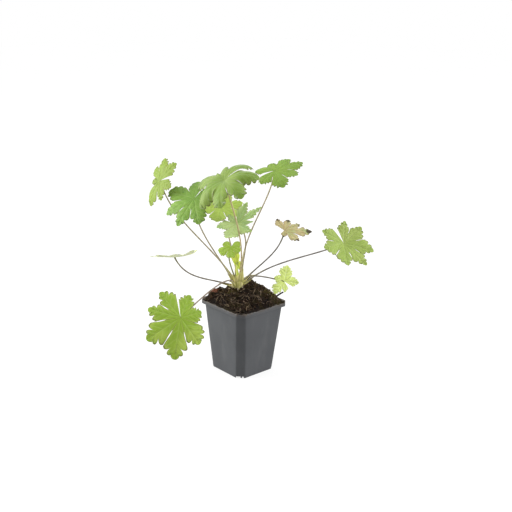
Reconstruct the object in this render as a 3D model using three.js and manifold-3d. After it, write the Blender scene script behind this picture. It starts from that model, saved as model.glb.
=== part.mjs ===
// A hardy geranium growing in a square nursery pot.
// Millimetres, +Z up. The pot stands on z = 0 with its sides along X and Y, and the
// origin is the middle of its flat underside. Every leaf blade, every leaf stalk, the
// crown, the soil and the pot are bodies of their own.
import * as THREE from 'three';
import { mergeVertices } from 'three/addons/utils/BufferGeometryUtils.js';
import Module from 'manifold-3d';

const wasm = await Module();
wasm.setup();

// ---------------------------------------------------------------- driving dimensions

const GAP = 0.3; // clearance left where one piece seats on another

const POT = {
  height: 100,
  rim: 45, // half the width over the lip
  rimCorner: 8.3, // how far the lip's corners are cut back
  wallTop: 41.8, // half the width of the outer wall at the foot of the lip
  wallFoot: 33.5, // half the width of the outer wall at the bottom
  wallCorner: 9.2, // how far the wall's corners are cut back
  lip: 5, // height of the lip's skirt
  lipGroove: 1.8, // open slot behind the skirt
  wall: 1.2,
  floor: 1.6,
  arris: 0.6, // edges softened by this much
  cornerRound: 2.5, // length rounded off on each side of a corner's edge
};

const DRAIN = {
  height: 3.2, // slots at the foot of each corner
  wide: 6.6,
  narrow: 2.6,
  tooth: 1.8, // rib left between the wide and the narrow slot
  inner: 34, // distance from the axis at which the slot in the floor ends
  outer: 44,
};

const SOIL = {
  edge: 98.8, // level along the wall
  swell: 4.3, // rise inside the wall
  heaps: [[-7, 10.5, 12.4, 27], [-5, 14, 8.2, 7.5], [-34, -28, 6.2, 10]], // x, y, rise, spread
  clod: 1.0, // height of the lumps
  rings: [0.95, 0.87, 0.77, 0.66, 0.56, 0.46, 0.36, 0.27, 0.18, 0.09],
};

const CROWN = {
  at: [-11, 0],
  // radius and height of the short stem that carries all the stalks
  profile: [[4, 104], [6.2, 110], [7.6, 115], [8, 119], [7.4, 124], [5.8, 128.5], [3.6, 131.5]],
  top: 133,
  segments: 16,
};

const STALK = { radius: 1.0, sides: 6, step: 13 };

const BLADE = {
  thickness: 0.7,
  root: 0.35, // the slits between the lobes end at this part of the blade's reach
  sinus: 24, // degrees from an end lobe's midrib to its edge at the stalk
  vein: 48, // degrees between a lobe's midrib and its side veins
  full: 0.4, // longest side vein, as a part of the lobe's length
  fullAt: 0.3, // where on the midrib that vein starts
  slit: 0.12, // width given up on each side of a slit
  rows: [0.2, 0.42, 0.64, 0.86, 1],
};

// Each leaf: `at` is where the stalk meets the blade; `faces` and `points` are the
// compass bearing and the lift, in degrees, of the blade's upper side and of its middle
// lobe; `reach` is the middle lobe's length. `cone` is the droop at the stalk and `dome`
// what the blade turns down from there to its edge. Each lobe has an angle from the
// middle lobe, a length relative to the reach, and a droop of its own beyond the slits.
// `seat` is the bearing and the height at which the stalk leaves the crown, and `rise`
// and `bow` are the two points that its curve is drawn towards. `finish` names a colour
// other than the grown leaves' green.
const LEAVES = {
  upper_left: {
    at: [-93, -73, 262], faces: [-90, 25], points: [-136, -55], reach: 40, cone: -4, dome: 24,
    angles: [-186, -132, -102, -48, 8, 52, 104],
    lengths: [0.84, 0.88, 0.78, 0.42, 1.0, 0.72, 0.64],
    droops: [0, 8, 30, 40, 12, 5, 0],
    seat: [-150, 126], rise: [-42, -26, 177], bow: [-82, -64, 207],
  },
  left: {
    at: [-38, -58, 245], faces: [-67, 53], points: [-79, -36], reach: 46, cone: 0, dome: 14,
    angles: [-155, -93, -43, 0, 40, 95, 150],
    lengths: [0.75, 0.97, 0.95, 0.97, 0.92, 0.58, 0.7],
    droops: [5, -10, 20, 5, 5, 0, 0],
    seat: [-115, 124], rise: [-25, -27, 167], bow: [-42, -54, 200],
  },
  top: {
    at: [5, -42, 275], faces: [-93, 57], points: [-117, -30], reach: 59, cone: -20, dome: 70,
    angles: [-150, -118, -58, 0, 60, 95, 152],
    lengths: [1.0, 0.52, 0.9, 0.9, 0.85, 0.85, 0.85],
    droops: [25, 5, -10, 30, -5, 0, 25],
    seat: [-45, 129], rise: [20, -16, 181], bow: [24, -31, 213],
  },
  upper_right: {
    at: [3, 49, 277], faces: [-73, 67], points: [62, 16], reach: 41, cone: -3, dome: 15,
    angles: [-145, -92, -48, 0, 34, 88, 140],
    lengths: [0.78, 0.97, 0.88, 1.0, 0.86, 0.52, 0.74],
    droops: [5, 10, -5, -5, 5, 5, 25],
    seat: [70, 130.5], rise: [-18, 6, 189], bow: [5, 41, 231],
  },
  middle: {
    at: [-3, -13, 211], faces: [-54, 52], points: [-42, -37], reach: 39, cone: -17, dome: -5,
    angles: [-140, -65, -18, 45, 80, 112, 150],
    lengths: [0.45, 0.75, 1.0, 0.85, 0.65, 1.05, 0.85],
    droops: [0, 0, -10, 5, 0, -5, 0],
    seat: [5, 128], rise: [-4, -4, 162], bow: [10, 8, 190],
  },
  rear: {
    at: [-48, -4, 224], faces: [-32, 61], points: [-48, -28], reach: 35, cone: -13, dome: 5,
    angles: [-150, -100, -55, 0, 50, 105, 150],
    lengths: [0.7, 0.85, 0.95, 1.05, 0.95, 0.9, 0.7],
    droops: [0, 0, -10, 5, 0, -5, 0],
    seat: [170, 129], rise: [-25, 2, 163], bow: [-39, -2, 200],
  },
  small_front: {
    finish: 'young',
    at: [-3, -22, 180], faces: [-51, 53], points: [-47, -37], reach: 18, cone: 0, dome: 10,
    angles: [-130, -60, 5, 65, 130],
    lengths: [0.75, 1.0, 0.95, 0.8, 0.8],
    droops: [0, 0, 0, 0, 0],
    seat: [-80, 127], rise: [-11, -15, 149], bow: [-12, -23, 165],
  },
  level_left: {
    at: [-76, -62, 155], faces: [152, 71], points: [-130, -7], reach: 36, cone: -4, dome: -6,
    angles: [-150, -100, -45, 0, 50, 100, 150],
    lengths: [1.0, 0.85, 0.95, 0.95, 0.95, 0.85, 0.95],
    droops: [-25, -5, 5, 5, 0, 0, -25],
    seat: [-140, 117], rise: [-40, -27, 128], bow: [-63, -52, 121],
  },
  low_left: {
    at: [-5, -106, 98], faces: [-33, 32], points: [-42, -58], reach: 53, cone: 3, dome: 15,
    angles: [-140, -105, -55, -5, 39, 110, 160],
    lengths: [0.85, 0.85, 1.0, 1.05, 0.82, 0.56, 0.65],
    droops: [-5, 0, 0, 0, 5, 0, 0],
    seat: [-95, 119], rise: [5, -25, 159], bow: [-20, -87, 94],
  },
  right: {
    at: [101, 88, 190], faces: [-15, 47], points: [11, -40], reach: 44, cone: -10, dome: 0,
    angles: [-145, -100, -40, 0, 40, 100, 140],
    lengths: [0.8, 0.85, 0.95, 1.0, 0.95, 0.85, 0.75],
    droops: [5, 0, -10, 0, 10, 0, -5],
    seat: [35, 121.5], rise: [25, 27, 160], bow: [66, 62, 166],
  },
  withered: {
    finish: 'withered',
    at: [22, 53, 196], faces: [-25, 65], points: [37, -32], reach: 33, cone: -5, dome: 5,
    angles: [-72, -23, 22, 58, 98, 140],
    lengths: [0.45, 0.85, 1.15, 0.8, 0.72, 0.7],
    droops: [10, 5, -5, 5, 0, -10],
    seat: [58, 125], rise: [6, 26, 152], bow: [21, 47, 164],
  },
  small_right: {
    finish: 'young',
    at: [16, 62, 118], faces: [-30, 35], points: [-157, 40], reach: 22, cone: -4, dome: 0,
    angles: [-137, -54, 27, 99, 137],
    lengths: [0.95, 1.1, 0.72, 1.15, 0.75],
    droops: [0, 0, 0, 0, 0],
    seat: [82, 124], rise: [-14, 19, 134], bow: [3, 50, 122],
  },
};

// Two leaves still folded in the crown's heart: foot, tip and greatest radius.
const SHOOTS = {
  tall: { foot: [-12.4, -0.8], tip: [-15.4, -5.0, 168], radius: 3.4 },
  short: { foot: [-9.4, 1.6], tip: [-10, 0, 154], radius: 1.9 },
};
const SHOOT_PROFILE = [[0.35, 0], [0.5, 0.25], [0.85, 0.5], [1, 0.72], [0.6, 0.9]];

const TWIG = { from: [17, 36, 97.5], to: [28, 49, 108.5], radius: 0.9, sides: 7 };

const CHIP = { at: [-28, -29], rise: 2.0, size: [9.5, 7, 2.2], turn: 25, tilt: 50 };

const COLOURS = {
  pot: ['#55575a', 0.55],
  soil: ['#2b2116', 0.95],
  crown: ['#b9b877', 0.7],
  blade: ['#79a93f', 0.55],
  young: ['#b3d04c', 0.55],
  withered: ['#b08a5c', 0.8],
  stalk: ['#8c8a6c', 0.6],
  twig: ['#2c2118', 0.9],
  chip: ['#6b3b28', 0.9],
};

// ---------------------------------------------------------------------- small helpers

const radians = THREE.MathUtils.degToRad;

/** Unit vector at a compass bearing (from +X towards +Y) and a lift above the level. */
function direction([bearing, lift]) {
  const b = radians(bearing);
  const e = radians(lift);
  return new THREE.Vector3(Math.cos(b) * Math.cos(e), Math.sin(b) * Math.cos(e), Math.sin(e));
}

/** Geometry with its shared vertices merged and its collapsed triangles left out. */
function merged(geometry) {
  const whole = mergeVertices(geometry, 1e-3);
  const { array } = whole.index;
  const kept = [];
  for (let i = 0; i < array.length; i += 3) {
    const [a, b, c] = array.slice(i, i + 3);
    if (a !== b && b !== c && c !== a) kept.push(a, b, c);
  }
  return whole.setIndex(kept);
}

/** One of three's own shapes as a closed skin, with positions only. */
function closed(geometry) {
  const bare = geometry.clone();
  bare.deleteAttribute('normal');
  bare.deleteAttribute('uv');
  return merged(bare);
}

/** Geometry from a list of triangles, each of three points. */
function fromTriangles(triangles) {
  return merged(new THREE.BufferGeometry().setFromPoints(triangles.flat()));
}

function toSolid(geometry) {
  const merged = closed(geometry);
  const vertProperties = new Float32Array(merged.attributes.position.array);
  const triVerts = new Uint32Array(merged.index.array);
  return new wasm.Manifold(new wasm.Mesh({ numProp: 3, vertProperties, triVerts }));
}

function fromSolid(solid) {
  const mesh = solid.getMesh();
  const geometry = new THREE.BufferGeometry();
  geometry.setAttribute('position', new THREE.BufferAttribute(mesh.vertProperties, 3));
  geometry.setIndex(new THREE.BufferAttribute(mesh.triVerts, 1));
  return geometry;
}

/** Closed skin through rings of equal point counts, fanned shut at both ends. */
function loft(rings, first, last) {
  const triangles = [];
  const count = rings[0].length;
  for (let i = 0; i < count; i += 1) {
    const j = (i + 1) % count;
    triangles.push([first, rings[0][j], rings[0][i]]);
    for (let k = 0; k + 1 < rings.length; k += 1) {
      const low = rings[k];
      const high = rings[k + 1];
      triangles.push([low[i], low[j], high[j]], [low[i], high[j], high[i]]);
    }
    const end = rings[rings.length - 1];
    triangles.push([end[i], end[j], last]);
  }
  return fromTriangles(triangles);
}

// -------------------------------------------------------------------------------- pot

/** A square outline with cut corners as a ring at height z, its corners' edges rounded. */
function squareRing({ half, cut }, z) {
  const corners = [];
  for (let q = 0; q < 4; q += 1) {
    const turn = (q * Math.PI) / 2;
    for (const [x, y] of [[half, half - cut], [half - cut, half]]) {
      const px = x * Math.cos(turn) - y * Math.sin(turn);
      const py = x * Math.sin(turn) + y * Math.cos(turn);
      corners.push(new THREE.Vector3(px, py, z));
    }
  }
  return corners.flatMap((corner, i) => {
    const [before, after] = [corners[(i + 7) % 8], corners[(i + 1) % 8]].map((next) => (
      next.clone().sub(corner).setLength(POT.cornerRound).add(corner)
    ));
    return new THREE.QuadraticBezierCurve3(before, corner, after).getPoints(2);
  });
}

/** The same outline moved inwards by an even distance all round. */
function inset({ half, cut }, by) {
  return { half: half - by, cut: cut - (2 - Math.SQRT2) * by };
}

/** The outline of the pot's tapering outer wall at height z. */
function wallAt(z) {
  const up = z / (POT.height - POT.lip);
  return { half: THREE.MathUtils.lerp(POT.wallFoot, POT.wallTop, up), cut: POT.wallCorner };
}

function potGeometry() {
  const { height, lip, lipGroove, wall, floor, arris } = POT;
  const under = height - lip;
  const roof = height - wall;
  const rim = { half: POT.rim, cut: POT.rimCorner };
  const skin = [
    [inset(wallAt(0), arris), 0],
    [wallAt(arris), arris],
    [wallAt(roof), roof],
    [inset(wallAt(roof), -lipGroove), roof],
    [inset(rim, wall + arris), under],
    [inset(rim, arris), under],
    [rim, height - arris],
    [inset(rim, arris), height],
    [inset(wallAt(height), wall - arris), height],
    [inset(wallAt(height), wall), height - 2 * arris],
    [inset(wallAt(floor), wall), floor],
  ];
  const rings = skin.map(([outline, z]) => squareRing(outline, z));
  return loft(rings, new THREE.Vector3(0, 0, 0), new THREE.Vector3(0, 0, floor));
}

/** Two boxes beside each other that cut one corner's drain slots, turned to a corner. */
function drainCutters() {
  const { height, wide, narrow, tooth, inner, outer } = DRAIN;
  const start = -(wide + tooth + narrow) / 2;
  const spans = [[start, wide], [start + wide + tooth, narrow]];
  const cutters = [];
  for (let q = 0; q < 4; q += 1) {
    for (const [from, width] of spans) {
      const box = new THREE.BoxGeometry(outer - inner, width, height * 2);
      box.translate((outer + inner) / 2, from + width / 2, 0);
      box.rotateZ(Math.PI / 4 + (q * Math.PI) / 2);
      cutters.push(toSolid(box));
    }
  }
  return cutters;
}

function pot() {
  let solid = toSolid(potGeometry());
  for (const cutter of drainCutters()) solid = solid.subtract(cutter);
  return fromSolid(solid);
}

// ------------------------------------------------------------------ crown and shoots

/** The crown's lathe, grown by a margin where it serves as a cutter. */
function crownGeometry(margin = 0) {
  const [[, bottom]] = CROWN.profile;
  const outline = CROWN.profile.map(([r, z]) => new THREE.Vector2(r + margin, z - margin));
  const foot = new THREE.Vector2(0, bottom - margin);
  const tip = new THREE.Vector2(0, CROWN.top + margin);
  const lathe = new THREE.LatheGeometry([foot, ...outline, tip], CROWN.segments);
  lathe.rotateX(Math.PI / 2);
  lathe.translate(CROWN.at[0], CROWN.at[1], 0);
  return closed(lathe);
}

/** Point on the crown's side at a bearing and a height, with the outward normal. */
function crownSeat([bearing, height]) {
  const outline = [...CROWN.profile, [0, CROWN.top]];
  const k = outline.findIndex(([, z]) => z > height);
  const [r0, z0] = outline[k - 1];
  const [r1, z1] = outline[k];
  const radius = THREE.MathUtils.mapLinear(height, z0, z1, r0, r1);
  const b = radians(bearing);
  const out = new THREE.Vector3(Math.cos(b), Math.sin(b), 0);
  const point = out.clone().multiplyScalar(radius);
  point.add(new THREE.Vector3(CROWN.at[0], CROWN.at[1], height));
  const normal = out.multiplyScalar(z1 - z0).add(new THREE.Vector3(0, 0, r0 - r1)).normalize();
  return { point, normal };
}

/** A folded young leaf: a slim spindle from the crown's top to its tip. */
function shootGeometry({ foot, tip, radius }) {
  const [cx, cy] = CROWN.at;
  const away = Math.hypot(foot[0] - cx, foot[1] - cy);
  const [r, z] = CROWN.profile.at(-1);
  const rest = THREE.MathUtils.mapLinear(away, 0, r, CROWN.top, z);
  const start = new THREE.Vector3(foot[0], foot[1], rest + GAP + radius * 0.3);
  const end = new THREE.Vector3(...tip);
  const length = start.distanceTo(end);
  const side = SHOOT_PROFILE.map(([w, up]) => new THREE.Vector2(w * radius, up * length));
  const points = [new THREE.Vector2(0, 0), ...side, new THREE.Vector2(0, length)];
  const lathe = new THREE.LatheGeometry(points, 7);
  const up = new THREE.Vector3(0, 1, 0);
  lathe.applyQuaternion(new THREE.Quaternion().setFromUnitVectors(up, end.sub(start).normalize()));
  lathe.translate(start.x, start.y, start.z);
  return closed(lathe);
}

// ------------------------------------------------------------------------ leaf blades

/** How far an arc carries outwards and downwards: its length, start angle and curvature. */
function arc(length, start, curvature) {
  const half = (curvature * length) / 2;
  const chord = Math.abs(half) < 1e-9 ? length : (length * Math.sin(half)) / half;
  return [chord * Math.cos(start + half), chord * Math.sin(start + half)];
}

/**
 * Place a point of the flat leaf, given beside a lobe's midrib, on the bent blade, in
 * the blade's own axes with the stalk at zero. Every ray from the stalk bends down as one
 * arc to the slits' ends and as a second, with the lobe's own droop added, to the edge.
 */
function bladePoint(leaf, lobe, along, across, lift) {
  const root = BLADE.root * leaf.reach;
  const bearing = Math.atan2(across, along) + radians(leaf.angles[lobe]);
  const distance = Math.hypot(along, across);
  const inner = Math.min(distance, root);
  const cone = radians(leaf.cone);
  const curvature = radians(leaf.dome) / leaf.reach;
  const extra = radians(leaf.droops[lobe]) / (leaf.reach - root);
  const [out1, down1] = arc(inner, cone, curvature);
  const bend = cone + curvature * inner;
  const outer = distance - inner;
  const [out2, down2] = arc(outer, bend, curvature + extra);
  const slope = distance === 0 ? 0 : bend + (curvature + extra) * outer;
  const away = out1 + out2 + lift * Math.sin(slope);
  const high = lift * Math.cos(slope) - down1 - down2;
  return new THREE.Vector3(away * Math.cos(bearing), away * Math.sin(bearing), high);
}

/** Length of the side vein that leaves the midrib at s, both as parts of the lobe. */
function veinLength(s, rootAt, half) {
  const vein = radians(BLADE.vein);
  const toRay = (s * Math.sin(half)) / Math.sin(vein - half);
  if (s <= rootAt) return toRay;
  const past = Math.min(1, (s - rootAt) / 0.1);
  const over = Math.max(0, (s - BLADE.fullAt) / (1 - BLADE.fullAt));
  const free = BLADE.full * Math.max(0, 1 - over ** 2) ** 0.8;
  return Math.min(toRay * (1 - BLADE.slit * past), free);
}

/** Half the angle to the neighbour on one side of a lobe, and where that slit ends. */
function lobeSide(leaf, lobe, side) {
  const next = leaf.angles[lobe + side];
  if (next === undefined) return { half: radians(BLADE.sinus), root: 0 };
  const vein = radians(BLADE.vein);
  const half = radians(Math.abs(next - leaf.angles[lobe]) / 2);
  const root = (BLADE.root / leaf.lengths[lobe]) * (Math.sin(vein - half) / Math.sin(vein));
  return { half, root };
}

/** Stations along a lobe's midrib: the ends of its two slits, then rows to the tip. */
function lobeStations(leaf, lobe) {
  const roots = [1, -1].map((side) => lobeSide(leaf, lobe, side).root);
  const far = Math.max(...roots);
  const stations = new Set([0, ...roots, ...BLADE.rows.map((f) => far + (1 - far) * f)]);
  return [...stations].sort((a, b) => a - b);
}

/** Midrib and edge points of one half of a lobe, in the lobe's own flat frame. */
function halfLobe(leaf, lobe, side) {
  const vein = radians(BLADE.vein);
  const length = leaf.reach * leaf.lengths[lobe];
  const { half, root } = lobeSide(leaf, lobe, side);
  const stations = lobeStations(leaf, lobe);
  const rows = stations.map((s) => {
    const from = s === 0 ? 0 : Math.max(s, root);
    const reach = veinLength(from, root, half);
    const edge = [(from + reach * Math.cos(vein)) * length, reach * Math.sin(vein) * length];
    return { rib: [s * length, 0], edge };
  });
  return { rows, firstFree: stations.indexOf(root) };
}

/** One half of a lobe as a closed-off sheet: both skins and the rim along its edge. */
function halfLobeTriangles(leaf, lobe, side) {
  const { rows, firstFree } = halfLobe(leaf, lobe, side);
  const put = ([x, y], lift) => bladePoint(leaf, lobe, x, y * side, lift);
  const [top, under] = [0.5, -0.5].map((f) => rows.map(({ rib, edge }) => ({
    rib: put(rib, f * BLADE.thickness),
    edge: put(edge, f * BLADE.thickness),
  })));
  const triangles = [];
  for (const skin of [top, under]) {
    const facing = [];
    for (let i = 0; i + 1 < skin.length; i += 1) {
      const atTip = i + 2 === skin.length;
      facing.push([skin[i].rib, skin[i + 1].rib, atTip ? skin[i].edge : skin[i + 1].edge]);
      const wide = i > 0 && i >= firstFree && !atTip;
      if (wide) facing.push([skin[i].rib, skin[i + 1].edge, skin[i].edge]);
    }
    triangles.push(...(skin === top ? facing : facing.map((t) => t.toReversed())));
  }
  for (let i = firstFree; i + 1 < top.length; i += 1) {
    triangles.push([top[i].edge, top[i + 1].edge, under[i].edge]);
    triangles.push([top[i + 1].edge, under[i + 1].edge, under[i].edge]);
  }
  return side === 1 ? triangles : triangles.map((t) => t.toReversed());
}

function bladeGeometry(leaf) {
  const halves = leaf.angles.flatMap((angle, lobe) => [
    ...halfLobeTriangles(leaf, lobe, 1),
    ...halfLobeTriangles(leaf, lobe, -1),
  ]);
  return fromTriangles(halves);
}

// ------------------------------------------------------------------------ leaf stalks

/** A round stalk from its seat on the crown to just under the blade. */
function stalkGeometry(leaf) {
  const { radius, sides, step } = STALK;
  const { point, normal } = crownSeat(leaf.seat);
  const rise = new THREE.Vector3(...leaf.rise);
  const bow = new THREE.Vector3(...leaf.bow);
  const up = direction(leaf.faces);
  const leaves = rise.clone().sub(point).normalize();
  const start = point.addScaledVector(normal, GAP + radius * Math.sin(leaves.angleTo(normal)));
  const end = new THREE.Vector3(...leaf.at);
  const arrives = end.clone().sub(bow).normalize();
  const under = BLADE.thickness / 2 + GAP + radius * Math.sin(arrives.angleTo(up));
  end.addScaledVector(up, -under);
  const curve = new THREE.CubicBezierCurve3(start, rise, bow, end);
  const section = new THREE.Shape();
  for (let i = 0; i < sides; i += 1) {
    const turn = (i / sides) * Math.PI * 2;
    const corner = [radius * Math.cos(turn), radius * Math.sin(turn)];
    if (i === 0) section.moveTo(...corner);
    else section.lineTo(...corner);
  }
  const steps = Math.max(4, Math.round(curve.getLength() / step));
  return closed(new THREE.ExtrudeGeometry(section, { steps, extrudePath: curve }));
}

// --------------------------------------------------------------- soil, twig and chip

/** Height of the soil at a place: heaps with clods on them, thinning out to the wall. */
function soilLevel(x, y) {
  const inside = wallAt(SOIL.edge).half - POT.wall;
  const fall = (1 - (x / inside) ** 8) * (1 - (y / inside) ** 8);
  const clods = SOIL.clod * Math.sin(x / 4.1 + 1) * Math.cos(y / 3.7);
  const heaps = SOIL.heaps.map(([hx, hy, rise, spread]) => {
    const away = Math.hypot(x - hx, y - hy) / spread;
    return rise * Math.exp(-(away ** 2) / 2);
  });
  const rise = heaps.reduce((sum, heap) => sum + heap, SOIL.swell + clods);
  return SOIL.edge + rise * Math.max(0, fall);
}

function soilGeometry() {
  const ringAt = (z) => squareRing(inset(wallAt(z), POT.wall + GAP), z);
  const bottom = POT.floor + GAP;
  const edge = ringAt(SOIL.edge);
  const rings = [ringAt(bottom), ringAt((bottom + SOIL.edge) / 2), edge];
  for (const part of SOIL.rings) {
    rings.push(edge.map(({ x, y }) => {
      const px = x * part;
      const py = y * part;
      return new THREE.Vector3(px, py, soilLevel(px, py));
    }));
  }
  const under = new THREE.Vector3(0, 0, bottom);
  return loft(rings, under, new THREE.Vector3(0, 0, soilLevel(0, 0)));
}

function twigGeometry(margin = 0) {
  const from = new THREE.Vector3(...TWIG.from);
  const to = new THREE.Vector3(...TWIG.to);
  const length = from.distanceTo(to) + 2 * margin;
  const radius = TWIG.radius + margin;
  const rod = new THREE.CylinderGeometry(radius * 0.75, radius, length, TWIG.sides);
  const middle = from.clone().add(to).multiplyScalar(0.5);
  const up = new THREE.Vector3(0, 1, 0);
  rod.applyQuaternion(new THREE.Quaternion().setFromUnitVectors(up, to.sub(from).normalize()));
  rod.translate(middle.x, middle.y, middle.z);
  return closed(rod);
}

function chipGeometry(margin = 0) {
  const [length, width, thick] = CHIP.size.map((side) => side + 2 * margin);
  const box = new THREE.BoxGeometry(length, width, thick);
  box.rotateX(radians(CHIP.tilt));
  box.rotateZ(radians(CHIP.turn));
  const [x, y] = CHIP.at;
  box.translate(x, y, soilLevel(x, y) + CHIP.rise);
  return closed(box);
}

function soil() {
  const holes = [crownGeometry(GAP), twigGeometry(GAP), chipGeometry(GAP)];
  const cut = holes.reduce((solid, hole) => solid.subtract(toSolid(hole)), toSolid(soilGeometry()));
  return fromSolid(cut);
}

// --------------------------------------------------------------------------- assembly

const plant = new THREE.Group();

function addPiece(name, geometry, finish) {
  const [color, roughness] = COLOURS[finish];
  const material = new THREE.MeshStandardMaterial({ color, roughness, metalness: 0 });
  const mesh = new THREE.Mesh(geometry, material);
  mesh.name = name;
  plant.add(mesh);
  return mesh;
}

/** Set a blade in place: X along its middle lobe, Z out of its upper side. */
function placeBlade(mesh, leaf) {
  const up = direction(leaf.faces);
  const ahead = direction(leaf.points);
  ahead.addScaledVector(up, -ahead.dot(up)).normalize();
  const left = new THREE.Vector3().crossVectors(up, ahead);
  mesh.setRotationFromMatrix(new THREE.Matrix4().makeBasis(ahead, left, up));
  mesh.position.set(...leaf.at);
}

addPiece('pot', pot(), 'pot');
addPiece('soil', soil(), 'soil');
addPiece('crown', crownGeometry(), 'crown');
addPiece('twig', twigGeometry(), 'twig');
addPiece('bark_chip', chipGeometry(), 'chip');
for (const [name, shoot] of Object.entries(SHOOTS)) {
  addPiece(`shoot_${name}`, shootGeometry(shoot), 'young');
}
for (const [name, leaf] of Object.entries(LEAVES)) {
  placeBlade(addPiece(`leaf_${name}`, bladeGeometry(leaf), leaf.finish ?? 'blade'), leaf);
  addPiece(`stalk_${name}`, stalkGeometry(leaf), 'stalk');
}

export default plant;
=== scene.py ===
import math
import zlib

import bpy
import numpy as np
from mathutils import Matrix, Vector


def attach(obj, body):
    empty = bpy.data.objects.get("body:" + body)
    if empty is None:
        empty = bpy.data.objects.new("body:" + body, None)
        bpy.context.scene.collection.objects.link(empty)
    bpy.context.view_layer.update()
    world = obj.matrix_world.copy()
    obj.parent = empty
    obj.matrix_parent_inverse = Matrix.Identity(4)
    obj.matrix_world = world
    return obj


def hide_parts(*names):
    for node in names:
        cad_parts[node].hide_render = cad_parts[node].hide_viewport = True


# A hardy geranium in a square nursery pot. Sizes below are millimetres in the frame of the
# CAD part: +Z up, the pot's sides along X and Y, the origin under the middle of the pot.
# Each skin is worked out as whole numpy arrays and turned into metres when it is made.

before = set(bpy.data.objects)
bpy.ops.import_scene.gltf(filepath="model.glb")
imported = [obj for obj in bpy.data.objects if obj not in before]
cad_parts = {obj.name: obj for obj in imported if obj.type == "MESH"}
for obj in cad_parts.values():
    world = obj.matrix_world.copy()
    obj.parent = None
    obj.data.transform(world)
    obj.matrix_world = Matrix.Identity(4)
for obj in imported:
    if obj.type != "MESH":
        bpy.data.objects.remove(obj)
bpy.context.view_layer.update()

MM = 0.001
BODY = "root"
# the front is where the pot's near corner points: its bearing, and the level unit vectors
# to it and to the right as seen from there
FRONT = -41.5
FRONTWARD = (0.749, -0.663)
RIGHTWARD = np.array([0.663, 0.749, 0.0])


# ------------------------------------------------------------------------- small helpers

def draws(name):
    """A random source of its own for each named piece."""
    return np.random.default_rng(zlib.crc32(name.encode()))


def direction(bearing, lift):
    """Unit vector at a compass bearing from +X towards +Y and a lift above the level."""
    b = math.radians(bearing)
    e = math.radians(lift)
    return np.array([math.cos(b) * math.cos(e), math.sin(b) * math.cos(e), math.sin(e)])


def unit(vectors):
    """Vectors over their lengths."""
    length = np.linalg.norm(vectors, axis=-1, keepdims=True)
    return vectors / np.maximum(length, 1e-9)


def smooth(low, high, value):
    """0 below low, 1 above high, and 3f^2 - 2f^3 of the way f between them."""
    part = np.clip((np.asarray(value, float) - low) / (high - low), 0, 1)
    return part * part * (3 - 2 * part)


LATTICE = np.random.default_rng(7).random((64, 64, 64))


def lattice_noise(points, size):
    """Smooth noise in -1..1: random values on a cubic lattice of that size, each weighted
    by 3f^2 - 2f^3 of how near its corner is along every axis."""
    scaled = np.asarray(points, float) / size
    cell = np.floor(scaled).astype(int)
    part = scaled - cell
    part = part * part * (3 - 2 * part)
    total = np.zeros(scaled.shape[:-1])
    for corner in np.ndindex(2, 2, 2):
        at = (cell + corner) % 64
        weight = np.prod(np.where(corner, part, 1 - part), axis=-1)
        total += weight * LATTICE[at[..., 0], at[..., 1], at[..., 2]]
    return 2 * total - 1


def rough_noise(points, size):
    """Sum of three lattice noises, each half the size and half the height of the last."""
    points = np.asarray(points, float)
    total = 0
    for octave in range(3):
        part = lattice_noise(points + 17.3 * octave, size / 2 ** octave)
        total = total + 0.5 ** octave * part
    return total


# --------------------------------------------------------------------------- mesh making

def grid_faces(rows, cols, wrap=False):
    """Quads of a grid numbered row by row; `wrap` joins the last column to the first."""
    across = cols if wrap else cols - 1
    r, c = np.meshgrid(np.arange(rows - 1), np.arange(across), indexing="ij")
    d = (c + 1) % cols
    quads = [r * cols + c, r * cols + d, (r + 1) * cols + d, (r + 1) * cols + c]
    return np.stack(quads, axis=-1).reshape(-1, 4)


def patch(rows, cols, low=0):
    """Two grids of numbers: v from low to 1 along the rows and u from -1 to 1 across."""
    return np.meshgrid(np.linspace(low, 1, rows), np.linspace(-1, 1, cols), indexing="ij")


# points closer than one of these steps to the millimetre are joined
JOIN_STEPS = 1e4


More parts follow.
